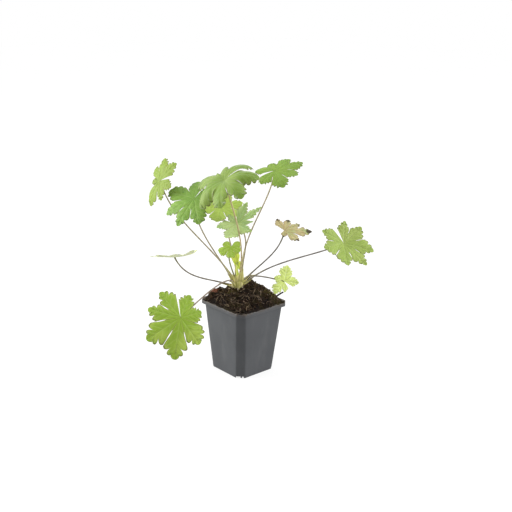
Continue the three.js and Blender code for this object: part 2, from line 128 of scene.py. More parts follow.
class Skin:
    """Points, quads and what belongs to each point, gathered from several sheets."""

    def __init__(self):
        self.points, self.quads, self.uvs, self.marks = [], [], [], []
        self.count = 0

    def sheet(self, points, quads, uv=None, mark=0.0):
        """Adds points with their quads, numbered within the sheet, a UV pair for each
        point, and a mark for each point: a number that a material may read."""
        points = np.asarray(points, float).reshape(-1, 3)
        size = len(points)
        uv = np.zeros((size, 2)) if uv is None else np.asarray(uv, float).reshape(-1, 2)
        self.points.append(points)
        self.quads.append(np.asarray(quads) + self.count)
        self.uvs.append(uv)
        self.marks.append(np.broadcast_to(np.asarray(mark, float).reshape(-1), (size,)))
        self.count += size

    def tube(self, path, radius, sides, mark=0.0):
        """A round skin along a path, closed by a point at each end: at every point of the
        path a circle of that radius in the plane across it. The circle's first axis is
        the path's tangent crossed with the normal of the plane the path lies closest to."""
        path = np.asarray(path, float)
        radius = np.broadcast_to(np.asarray(radius, float), (len(path),))
        ahead = unit(np.gradient(path, axis=0))
        flat = np.linalg.svd(path - path.mean(0))[2][2]
        side = unit(np.cross(ahead, flat + 1e-6))
        up = np.cross(side, ahead)
        turn = np.arange(sides) / sides * 2 * np.pi
        ring = side[:, None] * np.cos(turn)[:, None] + up[:, None] * np.sin(turn)[:, None]
        rings = path[:, None] + ring * radius[:, None, None]
        first = np.repeat(path[:1, None], sides, axis=1)
        last = np.repeat(path[-1:, None], sides, axis=1)
        rings = np.concatenate([first, rings, last])
        along = np.concatenate([[0], np.linspace(0, 1, len(path)), [1]])
        u = np.broadcast_to(turn / (2 * np.pi), (len(along), sides))
        v = np.broadcast_to(along[:, None], u.shape)
        faces = grid_faces(len(along), sides, wrap=True)[:, ::-1]
        self.sheet(rings, faces, np.stack([u, v], axis=-1), mark)

    def shell(self, grid, thickness, uv=None, mark=0.0):
        """A thin closed leaf on a grid of points: two skins half the thickness to each side
        of it along its normals, joined by a band round the edge. The normal is the cross
        product of the grid's two directions."""
        grid = np.asarray(grid, float)
        rows, cols = grid.shape[:2]
        normal = unit(np.cross(np.gradient(grid, axis=0), np.gradient(grid, axis=1)))
        lift = normal * np.asarray(thickness)[..., None] / 2
        if uv is None:
            r, c = np.meshgrid(np.linspace(0, 1, rows), np.linspace(0, 1, cols), indexing="ij")
            uv = np.stack([c, r], axis=-1)
        faces = grid_faces(rows, cols)
        size = rows * cols
        rim = edge_walk(rows, cols)
        after = np.roll(rim, -1)
        band = np.stack([rim, after, after + size, rim + size], axis=-1)
        both = np.concatenate([(grid + lift).reshape(-1, 3), (grid - lift).reshape(-1, 3)])
        quads = np.concatenate([faces[:, ::-1], faces + size, band])
        flat = np.concatenate([uv.reshape(-1, 2)] * 2)
        marks = np.broadcast_to(np.asarray(mark, float), (rows, cols)).reshape(-1)
        self.sheet(both, quads, flat, np.concatenate([marks, marks]))

    def piece(self, name, material, stands_for=(), sharp=None):
        """Makes the mesh object: equal points become one, quads that lost a corner become
        triangles, and the piece rides on the body and takes the named material slot."""
        points = np.concatenate(self.points)
        quads = np.concatenate(self.quads)
        uv = np.concatenate(self.uvs)
        marks = np.concatenate(self.marks)
        keys = np.round(points * JOIN_STEPS).astype(np.int64)
        _, first, back = np.unique(keys, axis=0, return_index=True, return_inverse=True)
        joined = back.reshape(-1)[quads]
        keep = joined != np.roll(joined, -1, axis=1)
        keep &= (keep.sum(1) >= 3)[:, None]
        totals = keep.sum(1)
        totals = totals[totals > 0]
        mesh = bpy.data.meshes.new(name)
        mesh.vertices.add(len(first))
        mesh.vertices.foreach_set("co", (points[first] * MM).astype(np.float32).ravel())
        mesh.loops.add(int(totals.sum()))
        mesh.loops.foreach_set("vertex_index", joined[keep].astype(np.int32))
        mesh.polygons.add(len(totals))
        starts = np.concatenate([[0], np.cumsum(totals)[:-1]])
        mesh.polygons.foreach_set("loop_start", starts.astype(np.int32))
        layer = mesh.uv_layers.new(name="Weave")
        layer.uv.foreach_set("vector", uv[quads][keep].astype(np.float32).ravel())
        mark = mesh.attributes.new("mark", "FLOAT", "POINT")
        mark.data.foreach_set("value", marks[first].astype(np.float32))
        mesh.update(calc_edges=True)
        mesh.validate()
        mesh.shade_smooth()
        if sharp is not None:
            mesh.set_sharp_from_angle(angle=math.radians(sharp))
        mesh.materials.append(material)
        made = bpy.data.objects.new(name, mesh)
        bpy.context.scene.collection.objects.link(made)
        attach(made, BODY)
        if stands_for:
            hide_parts(*stands_for)
        return made


def edge_walk(rows, cols):
    """Indices round the edge of a grid, in the order that faces outwards with `shell`."""
    top = np.arange(cols)
    right = np.arange(1, rows) * cols + cols - 1
    bottom = (rows - 1) * cols + np.arange(cols - 2, -1, -1)
    left = np.arange(rows - 2, 0, -1) * cols
    return np.concatenate([top, right, bottom, left])


def bezier(ends, count):
    """Points of the cubic curve through four given points, evenly spaced in its parameter."""
    t = np.linspace(0, 1, count)[:, None]
    a, b, c, d = np.asarray(ends, float)
    return (1 - t) ** 3 * a + 3 * (1 - t) ** 2 * t * b + 3 * (1 - t) * t ** 2 * c + t ** 3 * d


# ---------------------------------------------------------------------------- shader kit

def linear(code):
    """Hex colour as linear RGBA: c / 12.92 up to 0.04045, else ((c + 0.055) / 1.055)^2.4."""
    shown = np.array([int(code[i:i + 2], 16) / 255 for i in (1, 3, 5)])
    light = np.where(shown <= 0.04045, shown / 12.92, ((shown + 0.055) / 1.055) ** 2.4)
    return (*light.tolist(), 1.0)


def add(tree, kind, inputs=None, **settings):
    """One shader node. Inputs are values, or sockets that get linked."""
    node = tree.nodes.new("ShaderNode" + kind)
    for key, value in settings.items():
        setattr(node, key, value)
    for key, value in (inputs or {}).items():
        if isinstance(value, bpy.types.NodeSocket):
            tree.links.new(value, node.inputs[key])
        else:
            node.inputs[key].default_value = value
    return node


def maths(tree, operation, a, b=0.0, clamp=False):
    """Result socket of one Math node."""
    node = add(tree, "Math", {0: a, 1: b}, operation=operation, use_clamp=clamp)
    return node.outputs[0]


def times(tree, a, b):
    """Product of two numbers."""
    return maths(tree, "MULTIPLY", a, b)


def weighted(tree, a, part_a, b, part_b):
    """Sum of two numbers, each times its part."""
    return maths(tree, "ADD", times(tree, a, part_a), times(tree, b, part_b))


def ramp(tree, value, low, high, start=0.0, end=1.0):
    """Smooth step from start to end as the value goes from low to high."""
    span = {"Value": value, "From Min": low, "From Max": high, "To Min": start, "To Max": end}
    return add(tree, "MapRange", span, interpolation_type="SMOOTHSTEP").outputs[0]


def mixed(tree, part, a, b, mode="MIX"):
    """Colour a with `part` of colour b over it."""
    node = add(tree, "Mix", {0: part, 6: a, 7: b}, data_type="RGBA", blend_type=mode)
    return node.outputs[2]


def noise(tree, place, scale, detail=3.0, roughness=0.55, stretch=None):
    """Value of a noise at a place in metres, `scale` features a metre, 0..1."""
    if stretch is not None:
        place = add(tree, "Mapping", {"Vector": place, "Scale": stretch}).outputs[0]
    inputs = {"Vector": place, "Scale": scale, "Detail": detail, "Roughness": roughness}
    return add(tree, "TexNoise", inputs).outputs[0]


def object_place(tree):
    """The place on the object, in metres."""
    return add(tree, "TexCoord").outputs["Object"]


def part_along(tree, place, bearing, lift):
    """How far a place lies along a direction."""
    way = tuple(direction(bearing, lift).tolist())
    product = add(tree, "VectorMath", {0: place, 1: way}, operation="DOT_PRODUCT")
    return product.outputs["Value"]


def mark_of(tree):
    """The number that each point of the skin carries."""
    return add(tree, "Attribute", attribute_name="mark").outputs["Fac"]


def new_group(name, inputs, outputs):
    """A shader node group with named inputs and outputs, and the sockets of its two ends."""
    group = bpy.data.node_groups.new(name, "ShaderNodeTree")
    for label, kind in inputs.items():
        group.interface.new_socket(label, in_out="INPUT", socket_type=kind)
    for label, kind in outputs.items():
        group.interface.new_socket(label, in_out="OUTPUT", socket_type=kind)
    given = group.nodes.new("NodeGroupInput").outputs
    return group, given, group.nodes.new("NodeGroupOutput").inputs


def new_material(name):
    """A material with its Principled shader."""
    material = bpy.data.materials.new(name)
    material.use_nodes = True
    return material, material.node_tree, material.node_tree.nodes["Principled BSDF"]


def set_shader(tree, shader, colour, roughness, height, depth, **fixed):
    """Feeds colour, roughness and a bump height, whose whole range is `depth` metres, to
    the shader, and sets fixed sockets."""
    tree.links.new(colour, shader.inputs["Base Color"])
    if isinstance(roughness, bpy.types.NodeSocket):
        tree.links.new(roughness, shader.inputs["Roughness"])
    else:
        shader.inputs["Roughness"].default_value = roughness
    bump = add(tree, "Bump", {"Height": height, "Distance": depth, "Strength": 1.0})
    tree.links.new(bump.outputs[0], shader.inputs["Normal"])
    for key, value in fixed.items():
        shader.inputs[key.replace("_", " ")].default_value = value


COLOUR = "NodeSocketColor"
NUMBER = "NodeSocketFloat"
TRIPLE = "NodeSocketVector"

# what a leaf's colour is multiplied by where it is mottled and along its dry edge, and the
# colour of its dead parts
MOTTLED = "#cfd8c0"
DRIED = "#86817c"
SCORCHED = "#35221a"


def vein_mask(g, tau, across, place):
    """1 on a vein and 0 off it, and the distance from the nearest side vein, in veins and
    bent a little by a noise."""
    swerve = times(g, maths(g, "SUBTRACT", noise(g, place, 160.0), 0.5), 0.35)
    swayed = maths(g, "ADD", tau, swerve)
    gap = maths(g, "ABSOLUTE", maths(g, "SUBTRACT", swayed, maths(g, "ROUND", swayed)))
    side = ramp(g, gap, 0.03, 0.17, 1.0, 0.0)
    side = times(g, side, ramp(g, tau, 0.5, 0.9))
    side = times(g, side, ramp(g, across, 0.75, 1.0, 1.0, 0.25))
    rib = ramp(g, across, 0.03, 0.12, 1.0, 0.0)
    return maths(g, "MAXIMUM", side, rib, clamp=True), gap


def leaf_group():
    """Colour, height and roughness of a leaf blade. The UV's u counts side veins from the
    tip, with a vein at each whole number, and its v goes from the midrib at 0 to the edge
    at 1. The mark is 0 on the upper side and 1 on the underside."""
    inputs = dict.fromkeys(["Blade", "Rim_and_sheen", "Vein", "Under", "Tip"], COLOUR)
    inputs.update(dict.fromkeys(["Veins", "Tips", "Mottle", "Edge", "Burn"], NUMBER))
    outputs = {"Color": COLOUR, "Height": NUMBER, "Roughness": NUMBER}
    g, given, result = new_group("leaf blade", inputs, outputs)
    uv = add(g, "UVMap", uv_map="Weave").outputs[0]
    tau, across, _ = add(g, "SeparateXYZ", {0: uv}).outputs
    place = object_place(g)
    fine = noise(g, place, 900.0, 4.0)
    broad = noise(g, place, 55.0, 3.0)
    veins, gap = vein_mask(g, tau, across, place)
    shown = times(g, veins, given["Veins"])
    mottle = ramp(g, broad, 0.35, 0.7)
    rim = ramp(g, across, 0.62, 1.0)
    rim = times(g, rim, ramp(g, broad, 0.3, 0.6, 0.55, 1.0))
    # painted sheen: pale patches of the rim colour, scattered by a noise, stand in for a soft
    # reflection on the blade
    rim = maths(g, "MAXIMUM", rim, ramp(g, noise(g, place, 24.0, 1.0), 0.45, 0.65, 0.0, 0.6))
    colour = mixed(g, rim, given["Blade"], given["Rim_and_sheen"])
    deeper = mixed(g, 1.0, colour, linear(MOTTLED), "MULTIPLY")
    colour = mixed(g, times(g, mottle, given["Mottle"]), colour, deeper)
    colour = mixed(g, shown, colour, given["Vein"])
    # the teeth's ends, here and there
    ends = times(g, ramp(g, across, 0.9, 0.99), ramp(g, gap, 0.1, 0.3, 1.0, 0.0))
    ends = times(g, times(g, ends, ramp(g, broad, 0.42, 0.62)), given["Tips"])
    colour = mixed(g, ends, colour, given["Tip"])
    # dead ends of lobes, up to a ragged line two or three veins from the tip
    spread = maths(g, "ADD", tau, times(g, noise(g, place, 170.0, 3.0), 3.4))
    burnt = times(g, ramp(g, spread, 1.9, 2.7, 1.0, 0.0), given["Burn"])
    colour = mixed(g, burnt, colour, linear(SCORCHED))
    dried = mixed(g, 1.0, colour, linear(DRIED), "MULTIPLY")
    line = times(g, ramp(g, across, 0.86, 0.94), given["Edge"])
    colour = mixed(g, line, colour, dried)
    below = mixed(g, times(g, veins, 0.4), given["Under"], given["Vein"])
    colour = mixed(g, mark_of(g), colour, below)
    g.links.new(colour, result["Color"])
    sunk = maths(g, "SUBTRACT", 1.0, veins)
    g.links.new(weighted(g, sunk, 0.7, broad, 0.3), result["Height"])
    g.links.new(ramp(g, fine, 0.2, 0.8, 0.42, 0.62), result["Roughness"])
    return g


LEAF_GROUP = leaf_group()


def leaf_material(
    name, blade, rim, vein, under, tip="#8a6a32", veins=0.12, tips=0.4, mottle=0.25, edge=0.6,
    sheen=0.08, glow=0.15, burn=0.0,
):
    """A leaf's finish: the blade group's colours on a satin surface. Some light passes
    through the blade, as scattering under its surface."""
    material, tree, shader = new_material(name)
    values = {
        "Blade": linear(blade), "Rim_and_sheen": linear(rim), "Vein": linear(vein),
        "Under": linear(under), "Tip": linear(tip), "Veins": veins, "Tips": tips,
        "Mottle": mottle, "Edge": edge, "Burn": burn,
    }
    looks = add(tree, "Group", values, node_tree=LEAF_GROUP).outputs
    set_shader(
        tree, shader, looks["Color"], looks["Roughness"], looks["Height"], depth=0.00014,
        Sheen_Weight=sheen, Sheen_Roughness=0.4, Specular_IOR_Level=0.22,
        Subsurface_Weight=glow, Subsurface_Scale=0.004, Subsurface_Radius=(1.0, 1.0, 0.5),
    )
    return material


def grain_group():
    """Coarse patches over a colour with fine grain in the height: Color goes from Low to
    High with a noise of Scale features a metre, and Height is three parts of it to two of
    a noise of Fine features a metre. Both are stretched by Stretch."""
    inputs = {"Low": COLOUR, "High": COLOUR, "Scale": NUMBER, "Fine": NUMBER, "Stretch": TRIPLE}
    g, given, result = new_group("grain", inputs, {"Color": COLOUR, "Height": NUMBER})
    scaled = add(g, "Mapping", {"Vector": object_place(g), "Scale": given["Stretch"]}).outputs[0]
    coarse = noise(g, scaled, given["Scale"], 4.0)
    fine = noise(g, scaled, given["Fine"], 3.0)
    part = ramp(g, coarse, 0.34, 0.66)
    g.links.new(mixed(g, part, given["Low"], given["High"]), result["Color"])
    g.links.new(weighted(g, coarse, 0.6, fine, 0.4), result["Height"])
    return g


GRAIN_GROUP = grain_group()


# dull finishes: the colours of low and high patches, patches and grains a metre, roughness,
# the height of the grain in metres, and how often the pattern repeats along each axis
GRAINS = {
    "peat fibre": ("#5f4d39", "#9a866a", 500.0, 2000.0, 0.85, 0.0003, (1, 1, 1)),
    "dark fibre": ("#2c2016", "#54412e", 500.0, 2000.0, 0.9, 0.0003, (1, 1, 1)),
    "litter": ("#241910", "#6f5c49", 300.0, 1500.0, 0.9, 0.0004, (1, 1, 1)),
    "twig bark": ("#120c08", "#2b2019", 500.0, 1800.0, 0.85, 0.0004, (1, 1, 1)),
    "red bark": ("#4a2a1c", "#8a4f34", 350.0, 1500.0, 0.85, 0.0006, (1, 4, 1)),
    "stem sheath": ("#c4c164", "#efe59f", 260.0, 1400.0, 0.55, 0.0003, (1, 1, 0.25)),
    "papery scale": ("#a8916c", "#efe4cc", 300.0, 1600.0, 0.75, 0.0003, (1, 1, 0.3)),
}


def grain_material(name):
    """A dull finish of two colours in patches, from the grain group."""
    low, high, scale, fine, roughness, depth, stretch = GRAINS[name]
    material, tree, shader = new_material(name)
    values = {
        "Low": linear(low), "High": linear(high), "Scale": scale, "Fine": fine,
        "Stretch": stretch,
    }
    looks = add(tree, "Group", values, node_tree=GRAIN_GROUP).outputs
    set_shader(tree, shader, looks["Color"], roughness, looks["Height"], depth)
    return material


# --------------------------------------------------------------------------- leaf blades

# degrees between a midrib and its side veins
VEIN_ANGLE = 46
# parts of a leaf's reach, and of a lobe's midrib, where the slits between lobes start
ROOT = 0.35
INNER = 0.2
# for a lobe with that many teeth on a side: places along its midrib, in parts of the lobe,
# where the side veins to the notches between teeth start, and how deep the notches are
NOTCHES = {
    3: ([INNER, 0.38, 0.6, 0.82, 1.0], 0.085),
    4: ([INNER, 0.33, 0.48, 0.65, 0.85, 1.0], 0.075),
}
# how much of the first notch's depth is cut beside the tip tooth
TIP_CUT = 0.25
# degrees that the side veins turn further out close to the tip, and the most that half the
# gap behind the stalk opens
TIP_TURN = 42
GAP_HALF = 29
# half a lobe's width where no leaf sets it, in parts of its length; the half angle to the
# neighbour, in degrees, that this width belongs to, and the most that a wider angle adds
WIDE = 0.46
WIDE_HALF = 25
WIDE_MOST = 1.2
# the part of its midrib from which a lobe narrows, and the power that it narrows with
NARROW_FROM = 0.3
NARROW_POWER = 0.8
# a slit's opening and its least width, in parts of the side vein beside it, and the part of
# the midrib over which it opens
SLIT_SPAN = (0.04, 0.13)
SLIT_LEAST = 0.008
SLIT_RUN = 0.17
# the power that rounds a tooth, and how much deeper than the others the second notch is
TOOTH_POWER = 1.8
SECOND_NOTCH = 1.4
# blade's thickness and the size of its crumples
THICK = 0.42
CRUMPLE = 0.35

# Each leaf: where its stalk meets it, the bearing and lift that its face and its middle lobe
# point along, its reach, the degrees it slopes at the stalk and bends by the edge; for each
# lobe its angle, its length in parts of the reach and its droop in degrees; the bearing and
# height of the stalk's seat on the crown and two points that the stalk is drawn towards;
# the teeth on a side of a lobe and how much deeper than usual their notches are, how blunt
# and wide the lobes are, how strongly they arch across, and the size of the crumples.
LEAVES = {
    "upper_left": dict(
        at=(-93, -73, 262), faces=(-90, 25), points=(-136, -55), reach=40, cone=-4, dome=24,
        angles=(-186, -132, -102, -48, 8, 52, 104),
        lengths=(0.84, 0.88, 0.78, 0.42, 1.0, 0.72, 0.64), droops=(0, 8, 30, 40, 12, 5, 0),
        seat=(-150, 126), rise=(-42, -26, 177), bow=(-82, -64, 207),
        teeth=3, blunt=1.4, wide=0.44, deep=1.4,
    ),
    "left": dict(
        at=(-38, -58, 245), faces=(-67, 53), points=(-79, -36), reach=46, cone=0, dome=14,
        angles=(-155, -93, -43, 0, 40, 95, 150),
        lengths=(0.75, 0.97, 0.95, 0.97, 0.92, 0.58, 0.7), droops=(5, -10, 20, 5, 5, 0, 0),
        seat=(-115, 124), rise=(-25, -27, 167), bow=(-42, -54, 200), wide=0.41,
        teeth=3, blunt=1.6,
    ),
    "top": dict(
        at=(5, -42, 275), faces=(-93, 57), points=(-117, -30), reach=59, cone=-20, dome=70,
        angles=(-150, -118, -58, 0, 60, 95, 152),
        lengths=(1.0, 0.52, 0.9, 0.9, 0.85, 0.85, 0.85), droops=(25, 5, -10, 30, -5, 0, 25),
        seat=(-45, 129), rise=(20, -16, 181), bow=(24, -31, 213), vault=1.3, wide=0.4, blunt=1.8,
        teeth=3,
    ),
    "upper_right": dict(
        at=(3, 49, 277), faces=(-73, 67), points=(62, 16), reach=41, cone=-3, dome=15,
        angles=(-145, -92, -48, 0, 34, 88, 140),
        lengths=(0.78, 0.97, 0.88, 1.0, 0.86, 0.52, 0.74), droops=(5, 10, -5, -5, 5, 5, 25),
        seat=(70, 130.5), rise=(-18, 6, 189), bow=(5, 41, 231),
        teeth=4, blunt=1.5,
    ),
    "middle": dict(
        at=(-3, -13, 211), faces=(-54, 52), points=(-42, -37), reach=39, cone=-17, dome=-5,
        angles=(-140, -65, -18, 45, 80, 112, 150),
        lengths=(0.45, 0.75, 1.0, 0.85, 0.65, 1.05, 0.85), droops=(0, 0, -10, 5, 0, -5, 0),
        seat=(5, 128), rise=(-4, -4, 162), bow=(10, 8, 190), wide=0.4, vault=0.9, deep=1.2,
        teeth=4,
    ),
    "rear": dict(
        at=(-48, -4, 224), faces=(-32, 61), points=(-48, -28), reach=35, cone=-13, dome=5,
        angles=(-150, -100, -55, 0, 50, 105, 150),
        lengths=(0.7, 0.85, 0.95, 1.05, 0.95, 0.9, 0.7), droops=(0, 0, -10, 5, 0, -5, 0),
        seat=(170, 129), rise=(-25, 2, 163), bow=(-39, -2, 200),
        teeth=3, blunt=1.5,
    ),
    "small_front": dict(
        at=(-3, -22, 180), faces=(-51, 53), points=(-47, -37), reach=18, cone=0, dome=10,
        angles=(-130, -60, 5, 65, 130),
        lengths=(0.75, 1.0, 0.95, 0.8, 0.8), droops=(0, 0, 0, 0, 0),
        seat=(-80, 127), rise=(-11, -15, 149), bow=(-12, -23, 165),
        teeth=3, blunt=1.6, wide=0.5, slot="young_leaf",
    ),
    "level_left": dict(
        at=(-76, -62, 155), faces=(152, 71), points=(-130, -7), reach=36, cone=-4, dome=-6,
        angles=(-150, -100, -45, 0, 50, 100, 150),
        lengths=(1.0, 0.85, 0.95, 0.95, 0.95, 0.85, 0.95), droops=(-25, -5, 5, 5, 0, 0, -25),
        seat=(-140, 117), rise=(-40, -27, 128), bow=(-63, -52, 121),
        teeth=4, blunt=1.4,
    ),
    "low_left": dict(
        at=(-5, -106, 98), faces=(-33, 32), points=(-42, -58), reach=53, cone=3, dome=15,
        angles=(-140, -105, -55, -5, 39, 110, 160),
        lengths=(0.85, 0.85, 1.0, 1.05, 0.82, 0.56, 0.65), droops=(-5, 0, 0, 0, 5, 0, 0),
        seat=(-95, 119), rise=(5, -25, 159), bow=(-20, -87, 94),
        teeth=3, wide=0.5, blunt=1.2, deep=1.5,
    ),
    "right": dict(
        at=(101, 88, 190), faces=(-15, 47), points=(11, -40), reach=44, cone=-10, dome=0,
        angles=(-145, -100, -40, 0, 40, 100, 140),
        lengths=(0.8, 0.85, 0.95, 1.0, 0.95, 0.85, 0.75), droops=(5, 0, -10, 0, 10, 0, -5),
        seat=(35, 121.5), rise=(25, 27, 160), bow=(66, 62, 166),
        teeth=3,
    ),
    "withered": dict(
        at=(22, 53, 196), faces=(-25, 65), points=(37, -32), reach=33, cone=-5, dome=5,
        angles=(-72, -23, 22, 58, 98, 140),
        lengths=(0.45, 0.85, 1.15, 0.8, 0.72, 0.7), droops=(10, 5, -5, 5, 0, -10),
        seat=(58, 125), rise=(6, 26, 152), bow=(21, 47, 164),
        teeth=3, blunt=1.3, wide=0.44, slot="withered_leaf", crumple=2.4,
    ),
    "small_right": dict(
        at=(16, 62, 118), faces=(-30, 35), points=(-157, 40), reach=22, cone=-4, dome=0,
        angles=(-137, -54, 27, 99, 137),
        lengths=(0.95, 1.1, 0.72, 1.15, 0.75), droops=(0, 0, 0, 0, 0),
        seat=(82, 124), rise=(-14, 19, 134), bow=(3, 50, 122),
        teeth=3, blunt=1.0, wide=0.48, deep=1.3, slot="young_leaf",
    ),
}

# colours of each blade: upper side, its rim and painted sheen, its veins and its underside
PAINTS = {
    # painted shade: upper_left's colours are darkened where the left softbox lights it strongly
    "upper_left": ("#7d952f", "#8ea03f", "#9aa860", "#85984c"),
    "left": ("#6b9139", "#7ca043", "#a6b77b", "#8fa664"),
    "top": ("#6d8b2f", "#839849", "#99a473", "#8f9a80"),
    "upper_right": ("#6d8e2f", "#809c3a", "#a2ad66", "#8c9f55"),
    # painted light: middle's colours are lightened where the blades above shade it
    "middle": ("#b1d684", "#d7ea99", "#eef9e4", "#eef0b0"),
    "rear": ("#a2be4d", "#b4cd5e", "#d0dd8d", "#bccd81"),
    "small_front": ("#9ec146", "#bad158", "#d7df96", "#c9d290"),
    "level_left": ("#e3f2af", "#f0f7c1", "#f6f7da", "#edf7c3"),
    "low_left": ("#8aab37", "#aec45a", "#bfce8a", "#afc181"),
    "right": ("#89a049", "#9bad5a", "#b6bb8c", "#a2ad7a"),
    "withered": ("#a8cb83", "#cb8d7a", "#afc68c", "#b0ab96"),
    "small_right": ("#daee83", "#e7f897", "#f6ffd3", "#e6f4b6"),
}
# what sets a blade's finish apart from the others'
YOUNG = dict(tips=0.1, veins=0.3)
FINISHES = {
    "small_front": YOUNG,
    "small_right": YOUNG,
    "top": dict(sheen=0.3),
    "low_left": dict(tip="#a39a5c", tips=0.8, edge=0.8),
    "withered": dict(tip="#3a2418", tips=0.9, veins=0.4, mottle=0.5, burn=0.95),
}


def arc(length, start, curvature):
    """How far an arc carries outwards and downwards: its chord is length times sin(h) / h,
    with h half the angle it turns, and it leaves at the start angle plus h."""
    half = curvature * length / 2
    chord = length * np.sinc(half / np.pi)
    return chord * np.cos(start + half), chord * np.sin(start + half)


def bent(leaf, lobe, flat, lift):
    """A point of the flat leaf on the bent one. The ray from the stalk through the point
    bends down as one arc to the slits' ends and as a second, with the lobe's own droop, to
    the edge; the lift is measured square to that bent ray."""
    root = ROOT * leaf["reach"]
    bearing = np.arctan2(flat[..., 1], flat[..., 0]) + math.radians(leaf["angles"][lobe])
    distance = np.hypot(flat[..., 0], flat[..., 1])
    inner = np.minimum(distance, root)
    outer = distance - inner
    cone = math.radians(leaf["cone"])
    curve = math.radians(leaf["dome"]) / leaf["reach"]
    extra = math.radians(leaf["droops"][lobe]) / (leaf["reach"] - root)
    out_1, down_1 = arc(inner, cone, curve)
    bend = cone + curve * inner
    out_2, down_2 = arc(outer, bend, curve + extra)
    slope = np.where(distance == 0, 0, bend + (curve + extra) * outer)
    away = out_1 + out_2 + lift * np.sin(slope)
    high = lift * np.cos(slope) - down_1 - down_2
    return np.stack([away * np.cos(bearing), away * np.sin(bearing), high], axis=-1)


def tooth_stations(teeth):
    """Places along the midrib: even steps to the slits' ends, then from notch to notch in
    steps that follow a cosine, closest at the notches; and the count of veins there, which
    is a half at the first notch from the tip and one more at each next."""
    notches = NOTCHES[teeth][0]
    counts = [*np.arange(teeth, -1, -1) + 0.5, 0.0]
    first = np.linspace(0, INNER, 7)
    step = (1 - np.cos(np.linspace(0, np.pi, 11)[1:])) / 2
    steps = [a + (b - a) * step for a, b in zip(notches, notches[1:])]
    places = np.concatenate([first, *steps])
    return places, np.interp(places, notches, counts)


# places of a blade's columns of points, from the midrib at 0 to the edge at 1
ACROSS = np.array([0, 0.07, 0.16, 0.27, 0.39, 0.51, 0.63, 0.74, 0.84, 0.92, 0.97, 1.0])


def has_neighbour(leaf, lobe, side):
    """Whether another lobe follows on that side, rather than the gap behind the stalk."""
    return 0 <= lobe + side < len(leaf["angles"])


def toothed(edge, count, depth, loose):
    """The edge with round teeth cut square to it: to the notch's depth, in so far as that
    part is loose from its neighbour, times 1 - (1 - x^1.8)^(1 / 1.8), with
    x = 2 |n - round n| and n the count of veins."""
    ahead = unit(np.gradient(edge, axis=0))
    inward = np.stack([ahead[:, 1], -ahead[:, 0]], axis=-1)
    apart = np.minimum(np.abs(2 * (count - np.round(count))), 1)
    cut = 1 - (1 - apart ** TOOTH_POWER) ** (1 / TOOTH_POWER)
    cut = cut * np.where(count < 0.5, TIP_CUT, 1)
    return edge + inward * (depth[np.floor(count).astype(int)] * cut * loose)[:, None]


def lobe_edge(leaf, lobe, side, rng, places, count):
    """The edge of one half of a lobe in the lobe's own flat frame, a point for each station.
    A side vein leaves the midrib at VEIN_ANGLE, and close to the tip nearly square to it. It
    ends on the ray halfway to the neighbour, less the slit, or where the lobe's own outline
    does: a part of the lobe's length that grows with the angle to the neighbour and falls
    off as (1 - u^blunt)^0.8 from 0.3 of the midrib to its tip; past the first notch it is a
    quarter circle, narrower by most of the notch. Then it is toothed."""
    length = leaf["reach"] * leaf["lengths"][lobe]
    vein = math.radians(VEIN_ANGLE)
    inside = has_neighbour(leaf, lobe, side)
    if inside:
        half = math.radians(abs(leaf["angles"][lobe + side] - leaf["angles"][lobe]) / 2)
        root = ROOT / leaf["lengths"][lobe] * math.sin(vein - half) / math.sin(vein)
    else:
        turn = (360 - leaf["angles"][-1] + leaf["angles"][0]) / 2
        half = math.radians(min(turn - 2.5, GAP_HALF))
        root = INNER
    slit = places > INNER
    m = np.where(
        slit, places + (root - INNER) * (1 - places) / (1 - INNER), places * root / INNER)
    ray = m * math.sin(half) / math.sin(vein - half)
    past = np.clip((m - root) / SLIT_RUN, 0, 1)
    opening = rng.uniform(*SLIT_SPAN) * np.sin(np.pi * past)
    opening = opening + SLIT_LEAST * np.minimum(past * 4, 1)
    held = ray * (1 - np.where(slit, opening, 0))
    wide = leaf.get("wide", WIDE) * rng.uniform(0.95, 1.05)
    if inside:
        wide *= min(WIDE_MOST, (math.tan(half) / math.tan(math.radians(WIDE_HALF))) ** 0.8)
    narrowed = np.clip(m - NARROW_FROM, 0, None) / (1 - NARROW_FROM)
    free = wide * np.clip(1 - narrowed ** leaf.get("blunt", 1.1), 0, 1) ** NARROW_POWER
    depth = leaf.get("deep", 1) * NOTCHES[leaf["teeth"]][1] * rng.uniform(0.7, 1.1, 7)
    depth[1] *= SECOND_NOTCH
    at_tip = count < 0.5
    tooth = np.interp(0.5, count[::-1], free[::-1])
    depth[0] = min(depth[0], 0.4 * tooth)
    tooth -= (1 - TIP_CUT) * depth[0]
    free = np.where(at_tip, tooth * np.sqrt(1 - (1 - np.clip(2 * count, 0, 1)) ** 2), free)
    spread = vein + math.radians(TIP_TURN) * smooth(0.8, 0.93, m)
    reach = np.minimum(held, free) if inside else np.minimum(ray * 0.97, free)
    edge = np.stack([m + reach * np.cos(spread), reach * np.sin(spread)], axis=-1)
    edge = toothed(edge, count, depth, smooth(0.0, 0.07, ray - free))
    edge[-1] = (1, 0)
    if inside:
        limit = edge[:, 0] * math.tan(half) * (1 - 0.02 * past)
        edge[:, 1] = np.minimum(edge[:, 1], limit)
    edge[:, 1] = np.maximum(edge[:, 1], 0)
    return edge * length * np.array([1, side])


